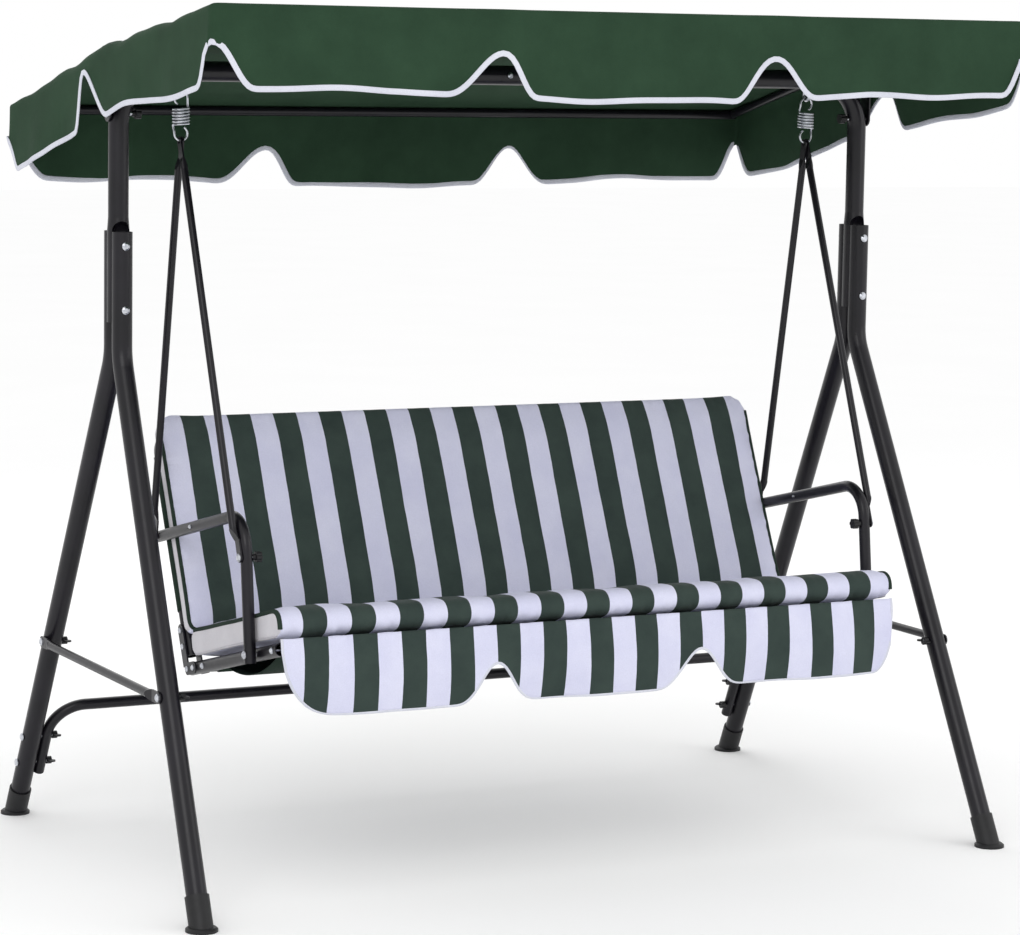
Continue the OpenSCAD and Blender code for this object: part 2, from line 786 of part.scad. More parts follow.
module armrest(side) {
    tail = (back_pin_y - arm_corner_y) / cos(arm_tilt) + arm_tail;
    foot = arm_rise / cos(arm_lean) + arm_toe;
    color(black)
        on_side(side)
            difference() {
                translate([arm_x, arm_corner_y + tail * cos(arm_tilt), arm_corner_z - tail * sin(arm_tilt)])
                    rotate([90 - arm_tilt, 0, 0])
                        bent_tube([
                            [tail - arm_tangent, arm_bend, arm_bend_r],
                            [foot - arm_tangent, 0, 0]
                        ], arm_r);
                translate([0, back_pin_y, back_pin_z]) hole_x(bolt_d, arm_x - arm_d, arm_x + arm_d);
                translate([0, rod_bolt_y, rod_bolt_z]) hole_x(bolt_d, arm_x - arm_d, arm_x + arm_d);
                translate([0, arm_foot_y, arm_foot_z]) hole_x(bolt_d, arm_x - arm_d, arm_x + arm_d);
                translate([0, arm_screw_y, arm_screw_z]) hole_x(screw_d, arm_x - arm_d, arm_x + arm_d);
            }
}

module seat_rail(side) {
    color(black)
        on_side(side) in_seat()
            difference() {
                translate([rail_x, rail_rear, 0]) rotate([90, 0, 0])
                    straight_tube(rail_r, rail_rear + rail_front);
                translate([0, -arm_foot, 0]) hole_x(bolt_d, rail_x - rail_d, rail_x + rail_d);
                for (y = corner_bolt_rail)
                    translate([0, y, 0]) hole_x(small_bolt_d, rail_x - rail_d, rail_x + rail_d);
                for (y = [-front_tube_l, -rear_tube_l])
                    translate([0, y, 0]) hole_x(small_bolt_d, rail_x - rail_d, rail_x + rail_d);
            }
}

// cross tube between the rails, its ends hollowed to fit them and plugged for the bolts
module cross_tube(y) {
    plug = 30;
    reach = rail_x - 4;
    difference() {
        translate([0, y, 0]) bar_x(rail_r, -reach, reach);
        translate([0, y, 0]) bar_x(rail_r - wall, -reach + plug, reach - plug);
        for (s = [-1, 1]) {
            translate([s * rail_x, rail_rear, 0]) rotate([90, 0, 0])
                cylinder(r = rail_r + gap, h = rail_front + rail_rear);
            translate([0, y, 0]) bar_x(small_bolt_d / 2 + 0.05, s > 0 ? reach - plug : -reach - cut,
                s > 0 ? reach + cut : -reach + plug);
        }
    }
}

module seat_front_tube() {
    color(black) in_seat() cross_tube(-front_tube_l);
}

module seat_rear_tube() {
    color(black) in_seat() cross_tube(-rear_tube_l);
}

module seat_bolts() {
    color(zinc) {
        in_seat()
            for (side = [-1, 1], y = [-front_tube_l, -rear_tube_l])
                on_side(side) translate([rail_x + rail_r, y, 0])
                    rotate([0, -90, 0]) bolt(small_bolt_d, rail_d + 18);
        for (side = [-1, 1]) on_side(side) {
            translate([arm_x + arm_r, arm_foot_y, arm_foot_z])
                rotate([0, -90, 0]) bolt(bolt_d, arm_d + rail_d + nut_h + bolt_tail);
            translate([rail_x - rail_r, arm_foot_y, arm_foot_z]) rotate([0, -90, 0]) nut(bolt_d);
        }
    }
}

// sling: sleeves round the two cross tubes and a sagging sheet between them
module seat_sling() {
    span = front_tube_l - rear_tube_l;
    top = rail_r + gap + sling_t;
    steps = 16;
    sheet = [for (i = [0 : steps])
        let (u = i / steps) [-rear_tube_l - span * u, top - 4 * sling_sag * u * (1 - u)]];
    under = [for (i = [steps : -1 : 0]) sheet[i] - [0, sling_t]];
    width = 2 * (rail_x - rail_r - 6);
    color(sling_green) in_seat()
        translate([-width / 2, 0, 0]) rotate([90, 0, 90]) linear_extrude(width)
            difference() {
                union() {
                    polygon(concat(sheet, under));
                    for (y = [-front_tube_l, -rear_tube_l]) translate([y, 0]) circle(top);
                }
                for (y = [-front_tube_l, -rear_tube_l]) translate([y, 0]) circle(rail_r + gap);
            }
}

// outline of the corner plates in the seat's side plane
module corner_outline() {
    rotate([0, 0, -seat_tilt]) {
        translate([corner_bolt_rail[1], -corner_w / 2])
            square([corner_bolt_rail[0] - corner_bolt_rail[1], corner_w]);
        for (y = corner_bolt_rail) translate([y, 0]) circle(corner_w / 2);
    }
    translate([back_foot_y, back_foot_z - seat_z]) rotate([0, 0, 90 - back_recline]) {
        translate([-18, -corner_w / 2]) square([corner_bolt_back[1] + 18, corner_w]);
        translate([corner_bolt_back[1], 0]) circle(corner_w / 2);
    }
}

// hole through a plate whose inner face is at x
module plate_hole(x) {
    hole_x(small_bolt_d, x - cut, x + plate_t + cut);
}

module corner_bracket(side) {
    color(black)
        on_side(side)
            for (x = [rail_x - rail_r - plate_t - gap, rail_x + rail_r + gap])
                difference() {
                    translate([x, 0, seat_z]) rotate([90, 0, 90]) linear_extrude(plate_t) corner_outline();
                    in_seat() for (y = corner_bolt_rail) translate([0, y, 0]) plate_hole(x);
                    in_back() for (w = corner_bolt_back) translate([0, 0, w]) plate_hole(x);
                }
}

module corner_bolt() {
    grip = rail_d + 2 * plate_t + 2 * gap;
    translate([rail_x + grip / 2, 0, 0]) rotate([0, -90, 0]) bolt(small_bolt_d, grip + nut_h + bolt_tail);
    translate([rail_x - grip / 2, 0, 0]) rotate([0, -90, 0]) nut(small_bolt_d);
}

module corner_bolts() {
    color(zinc)
        for (side = [-1, 1]) on_side(side) {
            in_seat() for (y = corner_bolt_rail) translate([0, y, 0]) corner_bolt();
            in_back() for (w = corner_bolt_back) translate([0, 0, w]) corner_bolt();
        }
}

module back_frame(side) {
    beam_end = side < 0 ? -back_seam_x : back_seam_x + gap;
    run = rail_x - back_bend_r - beam_end;
    spigot_r = rail_r - wall - 0.1;
    color(black)
        on_side(side) in_back()
            difference() {
                union() {
                    translate([rail_x, 0, 0]) rotate([0, 0, -90])
                        bent_tube([[back_h - back_bend_r, 90, back_bend_r], [run, 0, 0]], rail_r);
                    if (side < 0)
                        translate([-back_seam_x - back_spigot, 0, back_h]) rotate([0, 90, 0]) {
                            straight_tube(spigot_r, back_spigot + 5);
                            translate([0, 0, back_spigot]) straight_tube(spigot_r + 0.4, 3, 1.6);
                        }
                }
                translate([0, 0, back_pin_w]) hole_x(bolt_d, rail_x - rail_d, rail_x + rail_d);
                for (w = corner_bolt_back)
                    translate([0, 0, w]) hole_x(small_bolt_d, rail_x - rail_d, rail_x + rail_d);
            }
}

// sling: sleeves round the back frame's side tubes and a flat sheet in front of them
module back_sling() {
    low = back_cushion_low + 46;
    high = back_h - back_bend_r - 4;
    outer = rail_r + gap + sling_t;
    color(sling_green) in_back()
        difference() {
            translate([0, 0, low]) linear_extrude(high - low)
                difference() {
                    union() {
                        for (s = [-1, 1]) translate([s * rail_x, 0]) circle(outer);
                        translate([-rail_x, -outer]) square([2 * rail_x, sling_t]);
                    }
                    for (s = [-1, 1]) translate([s * rail_x, 0]) circle(rail_r + gap);
                }
            for (s = [-1, 1])
                translate([s * rail_x - outer - cut, -outer - cut, back_pin_w - 27])
                    cube([2 * (outer + cut), 2 * (outer + cut), 54]);
        }
}

// ---- cushions ----
// side outline of the seat cushion, its front edge rounded
module seat_cushion_outline() {
    nose_r = cushion_t / 2 - 2;
    difference() {
        translate([-cushion_front, cushion_lift]) square([cushion_front + cushion_rear, cushion_t]);
        translate([-cushion_front - cut, cushion_lift - cut]) square([nose_r + cut, cushion_t + 2 * cut]);
    }
    translate([-cushion_front + nose_r, cushion_lift + nose_r]) circle(nose_r);
    translate([-cushion_front + nose_r, cushion_lift + cushion_t - nose_r]) circle(nose_r);
    translate([-cushion_front, cushion_lift + nose_r]) square([nose_r, cushion_t - 2 * nose_r]);
}

module seat_cushion() {
    color(stripe_white) in_seat()
        translate([-seat_w / 2, 0, 0]) rotate([90, 0, 90]) linear_extrude(seat_w) seat_cushion_outline();
}

module seat_flap() {
    top_z = seat_z + cushion_front * sin(seat_tilt) + cushion_lift * cos(seat_tilt) + 2;
    front_y = -cushion_front * cos(seat_tilt) + cushion_lift * sin(seat_tilt);
    steps = 120;
    edge = [for (i = [0 : steps])
        let (x = -seat_w / 2 + seat_w * i / steps)
        [x, hem(x, flap_h, flap_notch_w, flap_notch_h, [-seat_w / 2, -seat_w / 6, seat_w / 6, seat_w / 2])]];
    color(stripe_white)
        translate([0, front_y - 0.3, top_z]) rotate([90, 0, 0]) linear_extrude(flap_t)
            polygon(concat(edge, [[seat_w / 2, 0], [-seat_w / 2, 0]]));
}

module back_cushion() {
    r = back_cushion_r;
    high = back_cushion_low + back_cushion_h;
    half = seat_w / 2;
    color(stripe_white) in_back()
        translate([0, -back_cushion_front + back_cushion_t, 0]) rotate([90, 0, 0])
            linear_extrude(back_cushion_t) {
                translate([-half, back_cushion_low]) square([seat_w, back_cushion_h - r]);
                translate([-half + r, back_cushion_low]) square([seat_w - 2 * r, back_cushion_h]);
                for (s = [-1, 1]) translate([s * (half - r), high - r]) circle(r);
            }
}

// ---- canopy ----
module canopy_arm(side) {
    front_l = (crown_y - canopy_front_y - rail_inset) / cos(front_pitch);
    rear_l = (canopy_rear_y - rail_inset - crown_y) / cos(rear_pitch);
    bend = rear_pitch - front_pitch;
    tangent = canopy_bend_r * tan(bend / 2);
    front_y = canopy_front_y + rail_inset;
    inner_x = canopy_arm_x - canopy_arm_d;
    outer_x = canopy_arm_x + canopy_arm_d;
    color(black)
        on_side(side)
            difference() {
                translate([canopy_arm_x, front_y, frame_z(front_y)])
                    rotate([-90 - front_pitch, 0, 0]) mirror([0, 1, 0])
                        bent_tube([[front_l - tangent, bend, canopy_bend_r], [rear_l - tangent, 0, 0]],
                            canopy_arm_r);
                for (y = [front_y, canopy_rear_y - rail_inset])
                    translate([0, y, frame_z(y)]) bar_x(canopy_r + gap, inner_x, outer_x);
                for (y = bracket_bolt_y)
                    translate([0, y, frame_z(y)]) hole_x(small_bolt_d, inner_x, outer_x);
            }
}

// rail across the canopy, its ends flush with the side arms' outer faces
module canopy_rail(y) {
    reach = canopy_arm_x + canopy_arm_r;
    translate([-reach, y, frame_z(y)]) rotate([0, 90, 0]) straight_tube(canopy_r, 2 * reach, rail_wall);
}

module canopy_front_rail() {
    color(black) canopy_rail(canopy_front_y + rail_inset);
}

module canopy_rear_rail() {
    color(black) canopy_rail(canopy_rear_y - rail_inset);
}

// plate that carries the canopy arm and turns on the post's pivot bolt
module canopy_bracket(side) {
    top_z = frame_z(0);
    bar = bracket_bolt_y[1] - bracket_bolt_y[0];
    color(black)
        on_side(side)
            difference() {
                translate([bracket_x, 0, 0]) rotate([90, 0, 90]) linear_extrude(plate_t) {
                    translate([0, pivot_z]) circle(bracket_w / 2);
                    translate([-bracket_w / 2, pivot_z]) square([bracket_w, top_z - pivot_z]);
                    translate([0, top_z]) rotate([0, 0, -front_pitch]) {
                        translate([-bar / 2, -canopy_arm_r]) square([bar, canopy_arm_d]);
                        for (s = [-1, 1]) translate([s * bar / 2, 0]) circle(canopy_arm_r);
                    }
                }
                translate([0, 0, pivot_z])
                    bar_x(bolt_d / 2 + 0.05, bracket_x - cut, bracket_x + plate_t + cut);
                for (y = bracket_bolt_y) translate([0, y, frame_z(y)]) plate_hole(bracket_x);
            }
}

module bracket_bolts() {
    color(zinc)
        for (side = [-1, 1], y = bracket_bolt_y) on_side(side) {
            translate([bracket_x + plate_t, y, frame_z(y)])
                rotate([0, -90, 0]) bolt(small_bolt_d, plate_t + canopy_arm_d + nut_h + bolt_tail);
            translate([canopy_arm_x - canopy_arm_r, y, frame_z(y)]) rotate([0, -90, 0]) nut(small_bolt_d);
        }
}

module pivot_bolts() {
    color(zinc)
        for (side = [-1, 1]) on_side(side)
            translate([bracket_x + plate_t + hang_gap, 0, pivot_z])
                rotate([0, -90, 0]) bolt(bolt_d, leg_d + plate_t + pivot_tail);
}

module pivot_knob(side) {
    color(plastic)
        on_side(side)
            translate([post_x - leg_r - knob_off, 0, pivot_z]) rotate([0, -90, 0]) knob(bolt_d);
}

// cloth cover: a folded roof sheet and four hanging edges
module canopy_cover() {
    color(canopy_green) {
        translate([-canopy_x, 0, 0]) rotate([90, 0, 90]) linear_extrude(2 * canopy_x)
            polygon([
                [canopy_front_y, roof_front_z], [crown_y, roof_crown_z], [canopy_rear_y, roof_rear_z],
                [canopy_rear_y, roof_rear_z - cloth_t], [crown_y, roof_crown_z - cloth_t],
                [canopy_front_y, roof_front_z - cloth_t]
            ]);
        valance_along(canopy_front_y, roof_front_z);
        valance_along(canopy_rear_y - cloth_t, roof_z(canopy_rear_y - cloth_t));
        for (x = [-canopy_x, canopy_x - cloth_t]) side_valance(x);
    }
}

// front or rear hanging edge: three lobes and an open corner at each end
module valance_along(y, top_z) {
    steps = 160;
    edge = [for (i = [0 : steps])
        let (x = -canopy_x + 2 * canopy_x * i / steps)
        [x, hem(x, valance_h, notch_w, notch_h, [-canopy_x, -canopy_x / 3, canopy_x / 3, canopy_x])]];
    translate([0, y + cloth_t, top_z]) rotate([90, 0, 0]) linear_extrude(cloth_t)
        polygon(concat(edge, [[canopy_x, -cloth_t / 2], [-canopy_x, -cloth_t / 2]]));
}

// side hanging edge: two lobes that follow the roof's slope
module side_valance(x) {
    steps = 100;
    edge = [for (i = [0 : steps])
        let (y = canopy_front_y + canopy_depth * i / steps)
        [y, roof_z(y) + hem(y, valance_h, notch_w, notch_h, [canopy_front_y, side_notch_y, canopy_rear_y])]];
    translate([x, 0, 0]) rotate([90, 0, 90]) linear_extrude(cloth_t)
        polygon(concat(edge, [
            [canopy_rear_y, roof_rear_z - cloth_t / 2], [crown_y, roof_crown_z - cloth_t / 2],
            [canopy_front_y, roof_front_z - cloth_t / 2]
        ]));
}

leg(-1, 1);  // front_leg_left
leg(1, 1);  // front_leg_right
leg(-1, -1);  // rear_leg_left
leg(1, -1);  // rear_leg_right
foot_cap(-1, 1);  // foot_cap_front_left
foot_cap(1, 1);  // foot_cap_front_right
foot_cap(-1, -1);  // foot_cap_rear_left
foot_cap(1, -1);  // foot_cap_rear_right
top_beam(-1);  // top_beam_left
top_beam(1);  // top_beam_right
beam_bolts();
post_bolts();
side_brace(-1);  // side_brace_left
side_brace(1);  // side_brace_right
brace_bolts();
brace_wing_nuts();
crossbar_end(-1);  // crossbar_end_left
crossbar_end(1);  // crossbar_end_right
crossbar_middle();
crossbar_bolts();
crossbar_wing_nuts();
hanger_eye(-1);  // hanger_eye_left
hanger_eye(1);  // hanger_eye_right
hanger_nuts();
spring(-1);  // spring_left
spring(1);  // spring_right
front_rod(-1);  // front_rod_left
front_rod(1);  // front_rod_right
rear_rod(-1);  // rear_rod_left
rear_rod(1);  // rear_rod_right
armrest(-1);  // armrest_left
armrest(1);  // armrest_right
seat_rail(-1);  // seat_rail_left
seat_rail(1);  // seat_rail_right
seat_front_tube();
seat_rear_tube();
seat_sling();
seat_bolts();
corner_bracket(-1);  // corner_bracket_left
corner_bracket(1);  // corner_bracket_right
corner_bolts();
back_frame(-1);  // back_frame_left
back_frame(1);  // back_frame_right
back_sling();
seat_cushion();
seat_flap();
back_cushion();
rod_bolts();
rod_knobs();
canopy_arm(-1);  // canopy_arm_left
canopy_arm(1);  // canopy_arm_right
canopy_bracket(-1);  // canopy_bracket_left
canopy_bracket(1);  // canopy_bracket_right
canopy_front_rail();
canopy_rear_rail();
canopy_cover();
bracket_bolts();
pivot_bolts();
pivot_knob(-1);  // pivot_knob_left
pivot_knob(1);  // pivot_knob_right
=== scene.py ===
import json
import math

import bmesh
import bpy
import numpy as np
from mathutils import Matrix, Vector
from mathutils.bvhtree import BVHTree


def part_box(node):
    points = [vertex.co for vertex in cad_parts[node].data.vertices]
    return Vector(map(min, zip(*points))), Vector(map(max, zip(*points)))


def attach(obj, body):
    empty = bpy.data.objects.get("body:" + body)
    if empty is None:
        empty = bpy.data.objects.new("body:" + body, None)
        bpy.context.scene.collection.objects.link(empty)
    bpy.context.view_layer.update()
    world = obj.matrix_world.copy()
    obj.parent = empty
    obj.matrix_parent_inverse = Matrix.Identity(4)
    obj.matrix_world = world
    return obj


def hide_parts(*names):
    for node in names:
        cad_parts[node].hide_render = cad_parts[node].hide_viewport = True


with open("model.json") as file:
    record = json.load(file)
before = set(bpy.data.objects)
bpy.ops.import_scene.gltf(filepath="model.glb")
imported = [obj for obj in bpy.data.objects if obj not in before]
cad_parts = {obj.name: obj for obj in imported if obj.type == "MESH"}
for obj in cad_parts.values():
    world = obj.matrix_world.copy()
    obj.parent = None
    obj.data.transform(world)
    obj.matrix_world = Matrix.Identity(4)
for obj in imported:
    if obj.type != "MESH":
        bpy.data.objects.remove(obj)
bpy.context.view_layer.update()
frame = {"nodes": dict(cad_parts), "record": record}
slots = {part["node"]: part["material_slot"] for part in frame["record"]["subparts"]}

# ---- sizes shared with the CAD, in metres ----
TUBE_R = 0.019          # top beam
CROWN_Y = 0.050         # where the canopy's roof bends
CROWN_RISE = 0.045      # height of that bend over the beam's axis
RAIL_SINK = 0.0135      # canopy rail's axis below the roof
VALANCE = 0.165         # drop of the canopy's hanging edge
ROOF_CORNER_R = 0.010   # front corners in plan; the rear ones are tighter
SEAT_TILT = math.radians(14)
RECLINE = math.radians(24.8)
STRIPES = 27

CLOTH = 0.0014          # cloth thickness
SLING = 0.0015          # sling thickness
SLING_R = 0.01345       # sling's middle round the axis of a tube
FRAME_TUBE_R = 0.0125   # tubes of the seat and of the back
BINDING_W, BINDING_T = 0.0105, 0.0017

# cushions in the leaning frames of the seat and of the back
SEAT_LOW, SEAT_THICK = 0.0145, 0.058
SEAT_REAR, SEAT_LONG = -0.003, 0.433
BACK_REAR, BACK_THICK = -0.0145, 0.045
BACK_LOW, BACK_HIGH = 0.044, 0.466
PAD_INSET = 0.005       # pad's form inside its box before it is blown up
PAD_VOXEL = 0.009
PAD_SWELL = 0.010       # the most that a pad's point moves
PAD_PRESSURE = 4
PAD_FRAMES = 20
PIPING_STEP = 0.008


# ---- camera, light and floor ----
def place_camera():
    data = bpy.data.cameras.new("camera")
    data.sensor_width = 36
    data.lens = 120.08
    place = (-2.9831, -5.9346, 1.5253)
    yaw, pitch, roll = math.radians(26.82), math.radians(-6.86), math.radians(0.92)
    forward = Vector((math.sin(yaw) * math.cos(pitch), math.cos(yaw) * math.cos(pitch), math.sin(pitch)))
    right = Vector((math.cos(yaw), -math.sin(yaw), 0))
    up = right.cross(forward)
    rolled_right = right * math.cos(roll) + up * math.sin(roll)
    rolled_up = up * math.cos(roll) - right * math.sin(roll)
    camera = bpy.data.objects.new("camera", data)
    camera.matrix_world = (
        Matrix.Translation(place)
        @ Matrix((rolled_right, rolled_up, -forward)).transposed().to_4x4()
    )
    bpy.context.scene.collection.objects.link(camera)
    bpy.context.scene.camera = camera


def area_light(name, place, target, size, power):
    data = bpy.data.lights.new(name, "AREA")
    data.shape = "RECTANGLE"
    data.size, data.size_y = size
    data.energy = power
    light = bpy.data.objects.new(name, data)
    light.location = place
    light.rotation_euler = (Vector(target) - Vector(place)).to_track_quat("-Z", "Y").to_euler()
    bpy.context.scene.collection.objects.link(light)


def light_studio():
    world = bpy.data.worlds.new("studio")
    world.use_nodes = True
    background = world.node_tree.nodes["Background"]
    background.inputs["Color"].default_value = (1, 1, 1, 1)
    background.inputs["Strength"].default_value = 1.0
    bpy.context.scene.world = world
    area_light("key", (-3.2, -4.2, 3.6), (0, 0, 0.8), (3.0, 3.0), 62)
    area_light("fill", (3.8, -3.4, 2.2), (0, 0, 0.8), (2.4, 2.4), 22)
    area_light("back", (0.5, 4.2, 3.2), (0, 0, 1.0), (3.0, 2.0), 30)
    bpy.context.scene.view_settings.view_transform = "Standard"


def lay_floor():
    mesh = bpy.data.meshes.new("floor")
    half = 30
    corners = [(-half, -half, 0), (half, -half, 0), (half, half, 0), (-half, half, 0)]
    mesh.from_pydata(corners, [], [(0, 1, 2, 3)])
    floor = bpy.data.objects.new("floor", mesh)
    bpy.context.scene.collection.objects.link(floor)
    surface = Surface("floor_paint", **{"Roughness": 0.8, "Specular IOR Level": 0.0})
    tint = surface.ramp(surface.noise(1.5), (0.975, 0.975, 0.975), (0.985, 0.985, 0.985))
    surface.link(tint, "Base Color")
    mesh.materials.append(surface.material)


# ---- materials ----
def linear(r, g, b):
    """An 8-bit sRGB colour as linear shares of 1."""
    return tuple(c / 255 / 12.92 if c <= 10 else ((c / 255 + 0.055) / 1.055) ** 2.4 for c in (r, g, b))


class Surface:
    """A Principled material and short ways to add nodes to it."""

    def __init__(self, name, **sockets):
        self.material = bpy.data.materials.new(name)
        self.material.use_nodes = True
        self.tree = self.material.node_tree
        self.shader = next(n for n in self.tree.nodes if n.type == "BSDF_PRINCIPLED")
        self.place = self.add("TexCoord").outputs["Object"]
        for socket, value in sockets.items():
            self.shader.inputs[socket].default_value = value

    def add(self, kind, inputs=None, **settings):
        node = self.tree.nodes.new("ShaderNode" + kind)
        for key, value in settings.items():
            setattr(node, key, value)
        if "Vector" in node.inputs and kind.startswith("Tex"):
            self.tree.links.new(self.place, node.inputs["Vector"])
        for key, value in (inputs or {}).items():
            if isinstance(value, bpy.types.NodeSocket):
                self.tree.links.new(value, node.inputs[key])
            else:
                node.inputs[key].default_value = value
        return node

    def link(self, socket, name):
        self.tree.links.new(socket, self.shader.inputs[name])

    def sum(self, a, b, how="ADD"):
        return self.add("Math", {0: a, 1: b}, operation=how).outputs[0]

    def ramp(self, fac, low, high, start=0.3, end=0.7):
        node = self.add("ValToRGB", {"Fac": fac})
        first, last = node.color_ramp.elements
        first.position, last.position = start, end
        first.color, last.color = (*low, 1), (*high, 1)
        return node.outputs["Color"]

    def mix(self, fac, a, b, how="MIX"):
        node = self.add("Mix", data_type="RGBA", blend_type=how)
        for key, value in ((0, fac), (6, a), (7, b)):
            if isinstance(value, bpy.types.NodeSocket):
                self.tree.links.new(value, node.inputs[key])
            else:
                node.inputs[key].default_value = value
        return node.outputs[2]

    def bump(self, height, strength, distance):
        node = self.add("Bump", {"Height": height, "Strength": strength, "Distance": distance})
        self.link(node.outputs["Normal"], "Normal")

    def noise(self, scale, detail=2.0, rough=0.5):
        return self.add("TexNoise", {"Scale": scale, "Detail": detail, "Roughness": rough}).outputs["Fac"]


def weave(surface, period):
    """Height of a plain weave: threads along X crossed with threads along the two diagonals of Y and Z."""
    scale = 2 * math.pi / (20 * period)
    spread = surface.add("SeparateXYZ", {0: surface.place})
    heights = []
    for sign in ("ADD", "SUBTRACT"):
        cross = surface.sum(spread.outputs["Y"], spread.outputs["Z"], sign)
        place = surface.add("CombineXYZ", {"X": cross}).outputs[0]
        heights.append(surface.add("TexWave", {"Vector": place, "Scale": scale}).outputs["Fac"])
    warp = surface.add("TexWave", {"Scale": scale}).outputs["Fac"]
    return surface.sum(surface.sum(heights[0], heights[1], "MULTIPLY"), warp)


def powder_coat():
    s = Surface("powder_coat", **{"Roughness": 0.36, "Specular IOR Level": 0.33})
    tone = s.ramp(s.noise(14, 4), linear(15, 14, 19), linear(23, 21, 28))
    scuffs = s.ramp(s.noise(210, 6, 0.7), (0, 0, 0), (1, 1, 1), 0.66, 0.74)
    s.link(s.mix(scuffs, tone, (*linear(44, 42, 49), 1)), "Base Color")
    gloss = s.add("MapRange", {"Value": s.noise(60, 3), "To Min": 0.24, "To Max": 0.38})
    s.link(gloss.outputs["Result"], "Roughness")
    s.bump(s.noise(900, 2), 0.12, 0.0004)
    return s.material


def zinc_plate():
    s = Surface("zinc_plate", **{"Metallic": 1.0, "Roughness": 0.3})
    s.link(s.ramp(s.noise(160, 3), linear(176, 180, 188), linear(214, 216, 222)), "Base Color")
    gloss = s.add("MapRange", {"Value": s.noise(320, 4), "To Min": 0.2, "To Max": 0.42})
    s.link(gloss.outputs["Result"], "Roughness")
    s.bump(s.noise(1300, 2), 0.1, 0.0002)
    return s.material


def moulded_plastic():
    s = Surface("moulded_plastic", **{"Roughness": 0.5, "Specular IOR Level": 0.4})
    s.link(s.ramp(s.noise(40, 3), linear(14, 14, 16), linear(24, 24, 27)), "Base Color")
    grain = s.add("TexVoronoi", {"Scale": 1500.0}).outputs["Distance"]
    s.bump(grain, 0.25, 0.0003)
    return s.material


def cloth(name, low, high, period=0.0016):
    """Plain cloth between two sRGB colours, with its weave's period in metres."""
    s = Surface(name, **{"Roughness": 0.82, "Specular IOR Level": 0.12})
    tone = s.ramp(s.noise(9, 5, 0.6), linear(*low), linear(*high))
    speck = s.ramp(s.noise(700, 2), (0.88, 0.88, 0.88), (1.0, 1.0, 1.0))
    s.link(s.mix(1.0, tone, speck, "MULTIPLY"), "Base Color")
    s.bump(weave(s, period), 0.35, 0.0004)
    return s.material


def striped_cloth(name, half_width):
    """White and dark green stripes across X, white at both ends, and off-white gussets beyond them."""
    s = Surface(name, **{"Roughness": 0.8, "Sheen Weight": 0.04, "Sheen Roughness": 0.45,
                         "Specular IOR Level": 0.15})
    pitch = 2 * half_width / STRIPES
    gusset_edge = half_width - 0.0045
    x = s.add("SeparateXYZ", {0: s.place}).outputs["X"]
    wobble = 0.0012
    wander = s.add("MapRange", {"Value": s.noise(18, 3), "To Min": -wobble, "To Max": wobble})
    across = s.sum(s.sum(x, half_width), wander.outputs["Result"])
    count = s.sum(across, pitch, "DIVIDE")
    whole = s.add("Math", {0: count}, operation="FLOOR").outputs[0]
    odd = s.sum(s.sum(whole, 2.0, "MODULO"), 0.5, "GREATER_THAN")
    white = s.ramp(s.noise(11, 5, 0.6), linear(208, 209, 233), linear(219, 220, 240))
    green = s.ramp(s.noise(13, 5, 0.6), linear(48, 60, 57), linear(58, 71, 66))
    speck = s.ramp(s.noise(700, 2), (0.9, 0.9, 0.9), (1.0, 1.0, 1.0))
    beyond = s.sum(s.add("Math", {0: x}, operation="ABSOLUTE").outputs[0], gusset_edge, "GREATER_THAN")
    grey = s.ramp(s.noise(12, 5, 0.6), linear(198, 196, 202), linear(210, 208, 213))
    dyed = s.mix(beyond, s.mix(odd, white, green), grey)
    s.link(s.mix(1.0, dyed, speck, "MULTIPLY"), "Base Color")
    s.bump(weave(s, 0.0014), 0.3, 0.0004)
    return s.material


# ---- mesh helpers ----
def add_piece(name, points, faces, material, body, thickness=0.0):
    mesh = bpy.data.meshes.new(name)
    mesh.from_pydata([tuple(map(float, p)) for p in points], [], [tuple(map(int, f)) for f in faces])
    mesh.update()
    return add_mesh(name, mesh, material, body, thickness)


def add_mesh(name, mesh, material, body, thickness=0.0):
    mesh.materials.clear()
    mesh.materials.append(material)
    mesh.polygons.foreach_set("use_smooth", [True] * len(mesh.polygons))
    piece = bpy.data.objects.new(name, mesh)
    bpy.context.scene.collection.objects.link(piece)
    if thickness:
        solid = piece.modifiers.new("thickness", "SOLIDIFY")
        solid.thickness = thickness
        solid.offset = 0
    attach(piece, body)
    return piece


def grid_faces(rows, columns):
    """Quads of a rows by columns grid of points."""
    corners = (0, 1, columns + 1, columns)
    return [
        tuple(r * columns + c + corner for corner in corners)
        for r in range(rows - 1)
        for c in range(columns - 1)
    ]


def bell(u, width, power):
    """1 at u = 0, falling smoothly to 0 at half the width."""
    inside = np.abs(u) < width / 2
    return np.where(inside, ((1 + np.cos(2 * np.pi * u / width)) / 2) ** power, 0.0)


def skew_bell(u, place, before, after, height):
    """A rounded peak at its place that falls to 0 over its own reach on either side."""
    reach = np.where(u < place, before, after)
    near = np.clip(np.abs(u - place) / reach, 0, 1)
    return height * ((1 + np.cos(np.pi * near)) / 2) ** 1.05


